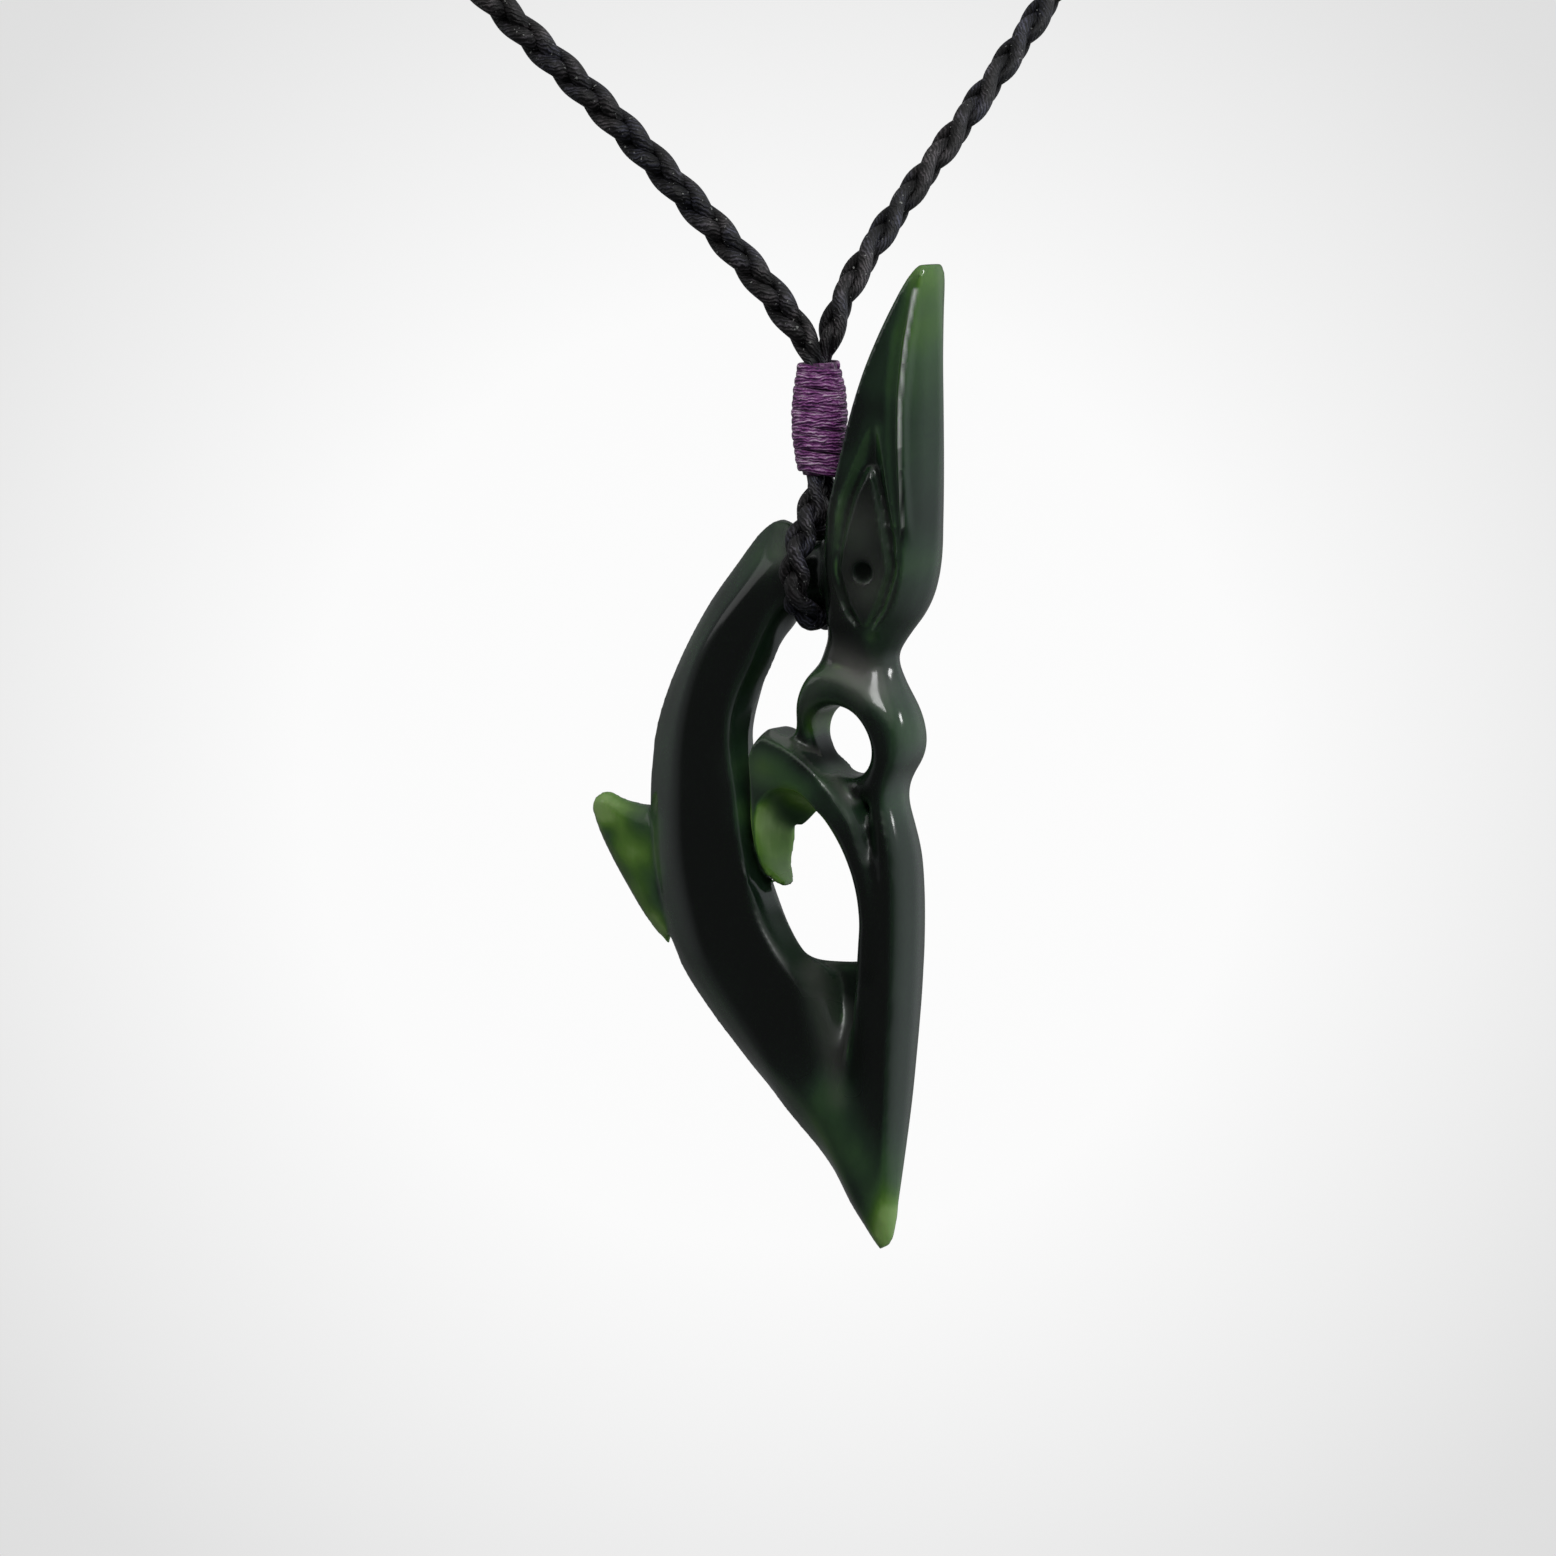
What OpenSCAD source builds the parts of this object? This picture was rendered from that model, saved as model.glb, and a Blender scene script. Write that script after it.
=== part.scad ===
// Greenstone manaia pendant on a plaited cord.
// The frame's origin is where the cord sits on the back of the neck, and the wearer looks along -Y.
// The stone is drawn in its own upright frame, x across, y from its face to its back, z up from
// its point, then turned and hung under the whipping.

/* [Carved stone] */
// Height of the stone, from its point to the end of the beak
stone_h = 75; // [74:0.5:76]
// Thickness of the stone at the flat of the blade
stone_t = 6.5; // [6:0.1:6.6]
// Turn of the stone on its cord, seen from above
stone_turn = -43; // [-60:1:0]
// Diameter of the drilled pupil
pupil_d = 1.6; // [1.2:0.1:1.8]
// Depth of the groove round the eye
groove_d = 0.9; // [0.5:0.1:1.2]

/* [Whipping] */
// Length of the wound thread
whip_h = 8.8; // [8:0.1:9.6]
// Diameter of the winding at its middle
whip_d = 4.3; // [4.1:0.1:4.6]

/* [Cord] */
// Diameter of the plaited cord
cord_d = 1.9; // [1.7:0.1:2]
// How far the front of the loop hangs below the back of the neck
loop_drop = 193.5; // [180:0.5:210]
// How far the front of the loop stands before the back of the neck
loop_reach = 149; // [140:1:160]

/* [Hidden] */
stone_color = "#16301f";
whip_color = "#7d3c8c";
cord_color = "#1b1a1c";

// The tables are drawn for a stone 75 mm high and 6.5 mm thick
size_k = stone_h / 75;
depth_k = stone_t / 6.5;
// Height of the whipping's lower end above the stone's point
hang_z = 58.9 * size_k;
// Share of a limb's depth left at a sharp edge
edge_share = 0.12;
// Steps between two rows of a table
row_steps = 3;
// How round the bevels of each limb are, from flat at 0 to fully round at 1
blade_swell = 0.15;
spine_swell = 0.6;
claw_swell = 0.2;
head_swell = 0.35;
fin_swell = 0.4;
ring_swell = 0.5;

// Columns of the tables of limbs, in mm of the stone's own frame: the outer edge, the inner edge,
// the depth of the face and of the back, where the outer and inner ridges stand between the edges,
// the share of the depth left at the outer and inner edge, and how much wider the back is at its
// inner edge, or narrower below 0. Rows without the last columns have sharp edges and a back as
// wide as the face
OUT_X = 0;
OUT_Z = 1;
IN_X = 2;
IN_Z = 3;
FACE = 4;
BACK = 5;
RIDGE_OUT = 6;
RIDGE_IN = 7;
THICK_OUT = 8;
THICK_IN = 9;
BACK_WIDER = 10;

// From inside the head, over the bridge and down the blade to the stone's point
blade_rows = [
    [2.6, 56.8, 2.6, 49.5, 2, 2, 0.3, 0.62],
    [1, 55.2, 0.9, 49.2, 2, 2, 0.3, 0.64],
    [-0.4, 53.9, -0.4, 49.2, 2.2, 2.2, 0.28, 0.68],
    [-1.5, 54.4, -1.4, 48.7, 2.5, 2.5, 0.32, 0.76],
    [-2.5, 55.4, -2.2, 48, 2.75, 2.7, 0.42, 0.82],
    [-3.6, 55.5, -2.8, 47.1, 2.9, 2.8, 0.48, 0.86],
    [-5, 54.5, -3.3, 45.8, 3, 2.9, 0.43, 0.86, 0.12, 0.12, -0.07],
    [-6.8, 52.3, -3.9, 44.4, 3.1, 3, 0.36, 0.86, 0.12, 0.12, -0.11],
    [-9.15, 49.3, -4.8, 42.6, 3.2, 3.1, 0.33, 0.87, 0.12, 0.12, -0.11],
    [-11.15, 46.1, -5.5, 40.7, 3.25, 3.1, 0.33, 0.885, 0.12, 0.12, -0.09],
    [-12.8, 42.8, -5.8, 38.5, 3.25, 3.1, 0.375, 0.94, 0.12, 0.12, -0.14],
    [-14, 39.4, -5.6, 36.3, 3.25, 3.1, 0.405, 0.98, 0.12, 0.12, -0.14],
    [-14.45, 36.15, -5.35, 34.2, 3.25, 3.1, 0.42, 1, 0.12, 0.12, -0.13],
    [-14.6, 32.6, -5.1, 32, 3.25, 3.1, 0.415, 0.99, 0.12, 0.12, -0.14],
    [-14.3, 28.6, -4.5, 29.7, 3.25, 3.1, 0.405, 0.97, 0.12, 0.12, -0.13],
    [-13.5, 24.9, -3.5, 27, 3.25, 3.1, 0.395, 0.94, 0.12, 0.12, -0.1],
    [-11.9, 21.2, -2.4, 24.8, 3.25, 3.1, 0.36, 0.93, 0.12, 0.12, -0.1],
    [-9.6, 18.1, -0.9, 23, 3.25, 3.05, 0.34, 0.9, 0.12, 0.28, -0.1],
    [-7.1, 15.3, 1, 21.9, 3.25, 3, 0.3, 0.82, 0.12, 0.36, -0.07],
    [-5.6, 13.7, 1.7, 20.9, 3.25, 2.95, 0.28, 0.76, 0.12, 0.42],
    [-4.1, 12.2, 2.2, 18.6, 3.2, 2.85, 0.29, 0.7, 0.12, 0.48],
    [-2.7, 10.6, 2.7, 16.3, 3.15, 2.75, 0.4, 0.64, 0.12, 0.55],
    [-1.3, 9.2, 3.2, 13.8, 2.95, 2.65, 0.47, 0.56, 0.12, 0.68],
    [0.1, 7.8, 3.8, 11.2, 2.7, 2.45, 0.5, 0.58, 0.12, 0.9],
    [1.5, 6.1, 4.4, 8.6, 2.4, 2.2, 0.46, 0.6, 0.12, 0.9],
    [2.8, 3.8, 5.4, 5.7, 1.9, 1.8, 0.44, 0.6, 0.12, 0.9],
    [4.2, 1.8, 6, 2.9, 1.25, 1.2, 0.44, 0.6, 0.12, 0.8],
    [5.3, 0.4, 6.1, 0.8, 0.5, 0.5, 0.4, 0.6, 0.3, 0.5],
];

// The rounded back of the figure, from the stone's point up past the shoulder
spine_rows = [
    [6.35, 1.2, 5.2, 1.3, 0.6, 0.6, 0.45, 0.6, 0.2, 0.9],
    [6.7, 3.3, 5.2, 3.3, 1.25, 1.2, 0.5, 0.6, 0.12, 0.9],
    [7, 6, 5.3, 5.9, 1.8, 1.75, 0.5, 0.62, 0.12, 0.9],
    [7.3, 9, 5.6, 8.9, 2.3, 2.2, 0.5, 0.64, 0.12, 0.75],
    [7.65, 12.2, 5.8, 12.1, 2.65, 2.5, 0.5, 0.64, 0.12, 0.68],
    [7.95, 15.6, 6, 15.5, 2.85, 2.7, 0.5, 0.64, 0.12, 0.66],
    [8.25, 19.4, 6.3, 19.3, 3, 2.85, 0.5, 0.64, 0.12, 0.66],
    [8.45, 23.4, 6.5, 23.3, 3.05, 2.95, 0.5, 0.64, 0.12, 0.66],
    [8.5, 27.4, 6.4, 27.3, 3.05, 2.95, 0.5, 0.66, 0.12, 0.66],
    [8.3, 30.6, 5.9, 30.5, 3, 2.9, 0.46, 0.66, 0.12, 0.6],
    [7.7, 33, 5.3, 32.9, 2.8, 2.75, 0.42, 0.62, 0.12, 0.5],
    [7.1, 35, 5.1, 35.1, 2.5, 2.6, 0.4, 0.6, 0.12, 0.5],
    [7.4, 36.6, 6, 36.1, 2.5, 2.6, 0.36, 0.6, 0.12, 0.5],
    [8.2, 38, 6.8, 37, 2.65, 2.8, 0.34, 0.6, 0.12, 0.6],
    [8.55, 39.6, 6.5, 38.9, 2.75, 2.9, 0.34, 0.6, 0.12, 0.6],
    [8.1, 41.6, 5.4, 41, 2.75, 2.9, 0.34, 0.6, 0.12, 0.6],
    [7.1, 43.6, 3.9, 42.8, 2.5, 2.7, 0.36, 0.6, 0.12, 0.6],
    [6.6, 45.3, 2.9, 44.5, 2, 2.3, 0.38, 0.62, 0.12, 0.5],
    [6.5, 46.7, 2.6, 46.1, 1.6, 1.8, 0.4, 0.65, 0.12, 0.5],
];

// The inner rim of the body, which rises into the arm and ends in the claw
claw_rows = [
    [5.3, 6.7, 4.2, 6.8, 1.5, 1.4, 0.32, 0.6, 0.8, 0.9, 0],
    [5.5, 9.3, 3.4, 9.6, 2, 1.9, 0.3, 0.66, 0.8, 0.95, 0],
    [5.8, 12.3, 3.5, 12.4, 2.45, 2.3, 0.3, 0.84, 0.78, 0.95, 0],
    [6.1, 15.5, 3.7, 15.4, 2.8, 2.55, 0.3, 0.84, 0.74, 0.7, 0],
    [6.4, 19.1, 4, 19, 3.05, 2.75, 0.31, 0.8, 0.7, 0.5, 0],
    [6.6, 22.7, 4.2, 22.6, 3.2, 2.9, 0.32, 0.74, 0.68, 0.4, 0],
    [6.5, 26.1, 4.45, 26, 3.25, 2.95, 0.3, 0.74, 0.66, 0.4, 0],
    [6.1, 29.1, 4, 28.7, 3.25, 3, 0.28, 0.78, 0.6, 0.5, 0],
    [5.5, 31.3, 3.3, 30.6, 3.25, 3, 0.24, 0.82, 0.5, 0.6, 0],
    [4.8, 33.7, 2.4, 32, 3.2, 3, 0.2, 0.84, 0.45, 0.6, 0.1],
    [3.5, 35.2, 1.4, 33.4, 3.2, 3, 0.16, 0.86, 0.4, 0.6, 0.25],
    [2.2, 36.4, 0.5, 34.3, 3.2, 2.95, 0.14, 0.86, 0.4, 0.6, 0.4],
    [0.8, 37.6, -0.4, 34.9, 3.2, 2.95, 0.13, 0.86, 0.4, 0.6, 0.5],
    [-0.8, 38.7, -1.3, 35, 3.2, 2.9, 0.12, 0.86, 0.4, 0.6, 0.55],
    [-2.3, 39.4, -2.1, 34.8, 3.15, 2.9, 0.12, 0.86, 0.4, 0.6, 0.5],
    [-3.6, 39.8, -2.8, 34.3, 3.15, 2.85, 0.12, 0.86, 0.4, 0.6, 0.4],
    [-4.6, 38.7, -3.2, 33.7, 3.15, 2.8, 0.16, 0.84, 0.3, 0.6, 0.3],
    [-4.75, 36.3, -3.5, 33, 3.15, 2.75, 0.22, 0.8, 0.25, 0.6, 0.3],
    [-4.8, 34, -3.65, 32.1, 3.15, 2.7, 0.28, 0.78, 0.25, 0.6, 0.3],
    [-4.65, 32, -3.6, 31, 3.1, 2.6, 0.32, 0.76, 0.25, 0.6, 0.3],
    [-4.35, 30.4, -3.5, 30.2, 2.9, 2.4, 0.34, 0.72, 0.25, 0.6, 0.25],
    [-3.9, 28.9, -3.35, 29.5, 2.3, 1.9, 0.36, 0.68, 0.25, 0.6, 0.15],
    [-3.3, 27.9, -2.95, 28.7, 1.6, 1.5, 0.4, 0.62, 0.3, 0.5, 0],
    [-2.6, 27.6, -2.6, 28.2, 0.8, 0.8, 0.4, 0.6, 0.4, 0.5, 0],
];

// The head, from inside the shoulder up to the cut end of the beak
head_rows = [
    [5.9, 43.1, -0.2, 42.9, 1.6, 1.6, 0.3, 0.75],
    [6.3, 44.7, 0.2, 44.5, 1.9, 2.1, 0.3, 0.78],
    [6.8, 46, 0.6, 45.8, 2.3, 2.5, 0.28, 0.8],
    [7.7, 47.4, 1.2, 47.1, 2.8, 2.8, 0.24, 0.82],
    [8.8, 48.9, 1.05, 48.6, 3.1, 3, 0.18, 0.84],
    [9.6, 50.7, 0.95, 50.2, 3.2, 3.05, 0.15, 0.86],
    [10.05, 53.1, 0.9, 52.6, 3.25, 3.1, 0.14, 0.87],
    [10.25, 56, 1.15, 55.6, 3.25, 3.1, 0.17, 0.88],
    [10.35, 59, 1.9, 58.6, 3.2, 3.05, 0.2, 0.88],
    [10.4, 61.9, 2.65, 61.5, 3.15, 3, 0.24, 0.87],
    [10.4, 64.7, 3.45, 64.4, 3.05, 2.9, 0.28, 0.86],
    [10.35, 67.7, 4.5, 67.4, 2.9, 2.75, 0.3, 0.84],
    [10.3, 70.7, 5.9, 70.5, 2.65, 2.5, 0.28, 0.8],
    [10.2, 73.2, 7.3, 73.1, 2.3, 2.2, 0.24, 0.74],
    [10.1, 74.5, 8.2, 74.4, 1.95, 1.9, 0.24, 0.7],
    [9.9, 75.1, 8.9, 75.1, 1.5, 1.5, 0.3, 0.66],
];

// The web that closes the lower opening, from near the face at its foot to deep at its top. Its
// rows have only the edges and the depths
web_rows = [
    [4.9, 7, 3, 7, 1.7, 1.6],
    [4.9, 10, 2, 9.9, 2.05, 2],
    [5, 13.1, 1.6, 12.9, 2.2, 2.3],
    [5.2, 15.5, 1.2, 15.3, 1.7, 2.45],
    [5.4, 17.7, 0.6, 17.5, 0.9, 2.55],
    [5.6, 19.9, -0.2, 19.6, 0.2, 2.6],
    [5.6, 21.8, -1, 21.5, -0.3, 2.3],
    [5.6, 22.4, -1.2, 22.1, -0.9, 1.7],
];

// The thin fin on the back of the blade, from its tip into the stone
fin_rows = [
    [-20.15, 32.5, -19.9, 33.6, 0.35, 0.35, 0.4, 0.6],
    [-19.45, 30.8, -18.8, 34.1, 0.7, 0.7, 0.3, 0.75],
    [-18.35, 28.83, -17.4, 33.6, 0.9, 0.9, 0.28, 0.78],
    [-17.05, 26.83, -16, 33.3, 1.05, 1.05, 0.28, 0.8],
    [-15.4, 24.5, -14.6, 33.2, 1.2, 1.2, 0.28, 0.82],
    [-13.3, 22.2, -13, 32.8, 1.3, 1.3, 0.28, 0.82],
];
// How far the fin stands behind the stone's middle
fin_back = 0.5;

// The arm's ring round the oval hole, with the hole's centre, half axes and tilt
ring_x = 2.78;
ring_z = 39.15;
hole_long = 2.95;
hole_short = 2.5;
hole_tilt = -38;
ring_ridge_in = 0.8;
ring_thick_in = 0.6;
// Columns: turn round the hole from its lower end, width of the band, depth of face and back,
// and where its outer ridge stands
ring_rows = [
    [0, 2.3, 2.6, 2.7, 0.3],
    [30, 2.1, 2.9, 2.8, 0.24],
    [60, 1.7, 3.15, 2.9, 0.22],
    [90, 2.5, 3.2, 2.9, 0.22],
    [120, 3.1, 3.2, 2.9, 0.22],
    [150, 3.4, 3.15, 2.8, 0.2],
    [180, 1.9, 3, 2.6, 0.25],
    [210, 1.6, 1.7, 2.5, 0.25],
    [240, 2.1, 1, 2.5, 0.22],
    [270, 1.95, 1, 2.5, 0.22],
    [300, 1.8, 1.4, 2.5, 0.22],
    [330, 2.2, 2, 2.6, 0.25],
];

// Outlines of the eye on the head's face, x and z: the groove's outer line, its floor and the panel
eye_outer = [
    [6.4, 64.4], [6.95, 61], [7.4, 57.9], [8.1, 54.3], [8.3, 52.3],
    [7.3, 49.3], [5.5, 46.7], [3.9, 48.7], [2.6, 52], [2.7, 54],
    [3.45, 57.9], [5.1, 61.4],
];
eye_floor = [
    [6.05, 60.2], [6.5, 58.6], [7, 56.5], [7.8, 53.3], [7.75, 52.1],
    [6.7, 49.2], [5.45, 47.4], [4.1, 49.1], [2.9, 52], [3.1, 53.9],
    [4.1, 57.7], [5.2, 60],
];
eye_panel = [
    [5.9, 59.5], [6.5, 56], [7.3, 52.3], [6.5, 50], [5.4, 48],
    [4.3, 49.7], [3.35, 52.3], [4, 55.1], [5, 58],
];
pupil_at = [5.3, 52.1];
pupil_depth = 0.5;
// Depth of the head's face before the stone's middle, and how far the panel stands below it
face_y = 3.2;
panel_sink = 0.12;
// Thickness of the plates a groove is drawn between, and how far a cut runs past the face
leaf = 0.01;
cut_past = 1;

// Right half of the loop: points from above the whipping to the back of the neck, each out to the
// side, back from the whipping and up from its top
loop_half = [
    [0.95, 0.1, 1.5], [1.8, 0.8, 3.2], [3.6, 2, 6], [7.65, 4.7, 11],
    [14.3, 9, 18.5], [22.9, 15, 28], [32.7, 22, 40], [43, 31, 54], [53, 41, 70], [61, 53, 88],
    [67, 67, 107], [71, 83, 127], [71, 100, 147], [66, 117, 165], [56, 131, 178],
    [41, 141, 187], [22, 147, 192], [0, 149, 193.5],
];
// Both legs veer a little to the same side over the first stretch above the whipping
veer_most = -0.5;
veer_h = 15;
// The two legs inside the whipping: radius, and distance of each from the whipping's axis
leg_r = 0.62;
leg_out = 0.64;
// Room round them in the whipping, and the height of the whipping where the loops meet
leg_room = 0.08;
join_share = 0.5;

// Front half of the hanging loop in the stone's frame: points from below the whipping to the
// underside of the bridge, each forward and up
hang_half = [
    [0.8, 57.9], [1.5, 56.3], [2.8, 54.6], [3.7, 53], [3.9, 51.2], [3.4, 49.8], [2.1, 48.6], [0, 48.2],
];
cord_sides = 8;
// The direction the neck cord's rings start from, never along the cord
neck_side = [0, 1, 0.3];

// A smooth curve through the rows p0 to p3 of any table, at share t between p1 and p2
function blend(p0, p1, p2, p3, t) =
    0.5 * (2 * p1 + (p2 - p0) * t + (2 * p0 - 5 * p1 + 4 * p2 - p3) * t * t
        + (3 * p1 - p0 - 3 * p2 + p3) * t * t * t);
function kept(i, n) = max(0, min(n - 1, i));
function smooth_open(rows, steps) = concat(
    [for (i = [0 : len(rows) - 2]) for (k = [0 : steps - 1])
        blend(rows[kept(i - 1, len(rows))], rows[i], rows[i + 1],
            rows[kept(i + 2, len(rows))], k / steps)],
    [rows[len(rows) - 1]]);
function smooth_closed(rows, steps) = let (n = len(rows))
    [for (i = [0 : n - 1]) for (k = [0 : steps - 1])
        blend(rows[(i + n - 1) % n], rows[i], rows[(i + 1) % n], rows[(i + 2) % n], k / steps)];

// Height of a bevel at share t from its edge to its ridge: straight at swell 0, round at swell 1
function bevel(t, swell, edge) =
    edge + (1 - edge) * (t * (1 - swell) + swell * sqrt(1 - (1 - t) * (1 - t)));
function full_row(r) = let (n = len(r))
    concat(r, n > THICK_IN ? [] : [edge_share, edge_share], n > BACK_WIDER ? [] : [0]);
bevel_steps = [0, 1 / 3, 2 / 3, 1];
function stone_point(r, u, y) =
    [(r[OUT_X] + (r[IN_X] - r[OUT_X]) * u) * size_k, y * depth_k,
        (r[OUT_Z] + (r[IN_Z] - r[OUT_Z]) * u) * size_k];
function limb_section(r, swell) = concat(
    [for (i = [0 : 3]) let (t = bevel_steps[i])
        stone_point(r, r[RIDGE_OUT] * t, -r[FACE] * bevel(t, swell, r[THICK_OUT]))],
    [for (i = [3 : -1 : 0]) let (t = bevel_steps[i])
        stone_point(r, 1 - (1 - r[RIDGE_IN]) * t, -r[FACE] * bevel(t, swell, r[THICK_IN]))],
    [for (i = [0 : 3]) let (t = bevel_steps[i])
        stone_point(r, 1 + r[BACK_WIDER] - (1 - r[RIDGE_IN]) * t,
            r[BACK] * bevel(t, swell, r[THICK_IN]))],
    [for (i = [3 : -1 : 0]) let (t = bevel_steps[i])
        stone_point(r, r[RIDGE_OUT] * t, r[BACK] * bevel(t, swell, r[THICK_OUT]))]);

// Faces of a skin over rings of the same number of points, closed by two caps or into itself
function skin_faces(rings, closed) = let (n = len(rings[0]), m = len(rings))
    concat(
        [for (i = [0 : m - (closed ? 1 : 2)]) for (j = [0 : n - 1])
            [i * n + j, i * n + (j + 1) % n, ((i + 1) % m) * n + (j + 1) % n]],
        [for (i = [0 : m - (closed ? 1 : 2)]) for (j = [0 : n - 1])
            [i * n + j, ((i + 1) % m) * n + (j + 1) % n, ((i + 1) % m) * n + j]],
        closed ? [] : [[for (j = [n - 1 : -1 : 0]) j], [for (j = [0 : n - 1]) (m - 1) * n + j]]);
module skin(rings, closed = false) {
    polyhedron(points = [for (ring = rings) each ring], faces = skin_faces(rings, closed));
}
module web() {
    skin([for (r = smooth_open(web_rows, row_steps))
        [stone_point(r, 0, -r[FACE]), stone_point(r, 1, -r[FACE]), stone_point(r, 1, r[BACK]),
            stone_point(r, 0, r[BACK])]]);
}
module limb(rows, swell) {
    full = [for (r = rows) full_row(r)];
    skin([for (r = smooth_open(full, row_steps)) limb_section(r, swell)]);
}

function hole_point(turn) = let (c = hole_long * cos(turn), s = hole_short * sin(turn))
    [ring_x + c * cos(hole_tilt) - s * sin(hole_tilt), ring_z + c * sin(hole_tilt) + s * cos(hole_tilt)];
function hole_normal(turn) = let (c = cos(turn) / hole_long, s = sin(turn) / hole_short, l = norm([c, s]))
    [(c * cos(hole_tilt) - s * sin(hole_tilt)) / l, (c * sin(hole_tilt) + s * cos(hole_tilt)) / l];
function ring_row(r) = let (p = hole_point(r[0]), q = p + hole_normal(r[0]) * r[1])
    [q[0], q[1], p[0], p[1], r[2], r[3], r[4], ring_ridge_in, edge_share, ring_thick_in, 0];
module ring() {
    skin([for (r = smooth_closed([for (r = ring_rows) ring_row(r)], 2)) limb_section(r, ring_swell)], true);
}

// A thin plate with its outline in x and z, from y = from back to y = to
module plate(outline, from, to) {
    translate([0, to, 0])
        rotate([90, 0, 0])
            linear_extrude(to - from)
                polygon([for (p = outline) p * size_k]);
}
module eye_groove() {
    floor_y = (groove_d - face_y) * depth_k;
    panel_y = (panel_sink - face_y) * depth_k;
    difference() {
        hull() {
            plate(eye_outer, -face_y * depth_k - cut_past, -face_y * depth_k + leaf);
            plate(eye_floor, floor_y, floor_y + leaf);
        }
        hull() {
            plate(eye_floor, floor_y, floor_y + 2 * leaf);
            plate(eye_panel, panel_y, panel_y + leaf);
        }
    }
}
module pupil() {
    translate([pupil_at[0] * size_k, (pupil_depth - face_y) * depth_k, pupil_at[1] * size_k])
        rotate([90, 0, 0])
            cylinder(d = pupil_d, h = pupil_depth + cut_past, $fn = 24);
}

// Places what is drawn in the stone's frame under the whipping
module hang() {
    translate([0, cord_d / 2 - loop_reach, -loop_drop - whip_h - hang_z])
        rotate([0, 0, stone_turn])
            children();
}
module greenstone_carving() {
    color(stone_color)
        hang()
            difference() {
                union() {
                    limb(blade_rows, blade_swell);
                    limb(spine_rows, spine_swell);
                    limb(claw_rows, claw_swell);
                    limb(head_rows, head_swell);
                    web();
                    translate([0, fin_back, 0]) limb(fin_rows, fin_swell);
                    ring();
                }
                eye_groove();
                pupil();
            }
}

// The winding's outline, from its lower end up: share of its height and of its widest radius
whip_profile = [[0, 0.72], [0.1, 0.82], [0.28, 0.94], [0.5, 1], [0.7, 0.96], [0.9, 0.82], [1, 0.73]];
module thread_whipping() {
    outline = smooth_open(whip_profile, row_steps);
    color(whip_color)
        translate([0, cord_d / 2 - loop_reach, -loop_drop - whip_h])
            rotate([0, 0, stone_turn])
                difference() {
                    rotate_extrude($fn = 48)
                        polygon(concat([[0, 0]], [for (p = outline) [p[1] * whip_d / 2, p[0] * whip_h]],
                            [[0, whip_h]]));
                    translate([0, 0, -1])
                        linear_extrude(whip_h + 2)
                            leg_slot();
                }
}
module leg_slot() {
    translate([-leg_r - leg_room, -leg_out])
        square([2 * (leg_r + leg_room), 2 * leg_out]);
    for (side = [-1, 1])
        translate([0, side * leg_out])
            circle(leg_r + leg_room, $fn = 24);
}

// A round tube through the points, with its own radius at each, its rings square to the path
function unit(v) = v / norm(v);
function path_tangent(path, i) = unit(path[kept(i + 1, len(path))] - path[kept(i - 1, len(path))]);
function tube_ring(p, t, side, r) = let (a = unit(side - t * (side * t)), b = cross(a, t))
    [for (j = [0 : cord_sides - 1]) let (w = 360 * j / cord_sides) p + r * (a * cos(w) + b * sin(w))];
module tube(path, radii, side, ends) {
    last = len(path) - 1;
    skin([for (i = [0 : last])
        tube_ring(path[i], i == 0 ? ends[0] : i == last ? ends[1] : path_tangent(path, i), side, radii[i])]);
}

// The cord narrows over squeeze_run mm outside the whipping; rise is the distance from its end
squeeze_run = 4;
function cord_radius(rise) = leg_r + (cord_d / 2 - leg_r) * sin(90 * max(0, min(1, rise / squeeze_run)));
// Where a leg runs in the whipping, for side -1 in front and 1 behind, at a height from its top
function leg_at(side, up) = [side * leg_out * sin(-stone_turn), side * leg_out * cos(stone_turn), up];
function veer(up) = veer_most * sin(min(180, 180 * up / veer_h));
module neck_cord() {
    left = [for (p = loop_half) [veer(p[2]) - p[0], p[1], p[2]]];
    right = [for (i = [len(loop_half) - 2 : -1 : 0]) let (p = loop_half[i]) [veer(p[2]) + p[0], p[1], p[2]]];
    low = -whip_h * (1 - join_share);
    path = concat([leg_at(-1, low)],
        smooth_open(concat([leg_at(-1, 0)], left, right, [leg_at(1, 0)]), 2),
        [leg_at(1, low)]);
    color(cord_color)
        translate([0, cord_d / 2 - loop_reach, -loop_drop])
            tube(path, [for (p = path) cord_radius(p[2])], neck_side, [[0, 0, 1], [0, 0, -1]]);
}
module hanging_loop() {
    front = [for (p = hang_half) [0, -p[0], p[1] * size_k]];
    back = [for (i = [len(hang_half) - 2 : -1 : 0]) [0, hang_half[i][0], hang_half[i][1] * size_k]];
    high = hang_z + whip_h * join_share;
    path = concat([[0, -leg_out, high]],
        smooth_open(concat([[0, -leg_out, hang_z]], front, back, [[0, leg_out, hang_z]]), 2),
        [[0, leg_out, high]]);
    color(cord_color)
        hang()
            tube(path, [for (p = path) cord_radius(hang_z - p[2])], [1, 0, 0], [[0, 0, -1], [0, 0, 1]]);
}

greenstone_carving();
thread_whipping();
hanging_loop();
neck_cord();
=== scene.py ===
"""The greenstone pendant on its plaited cord: its finished pieces, materials, stage and camera."""
import math

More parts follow.
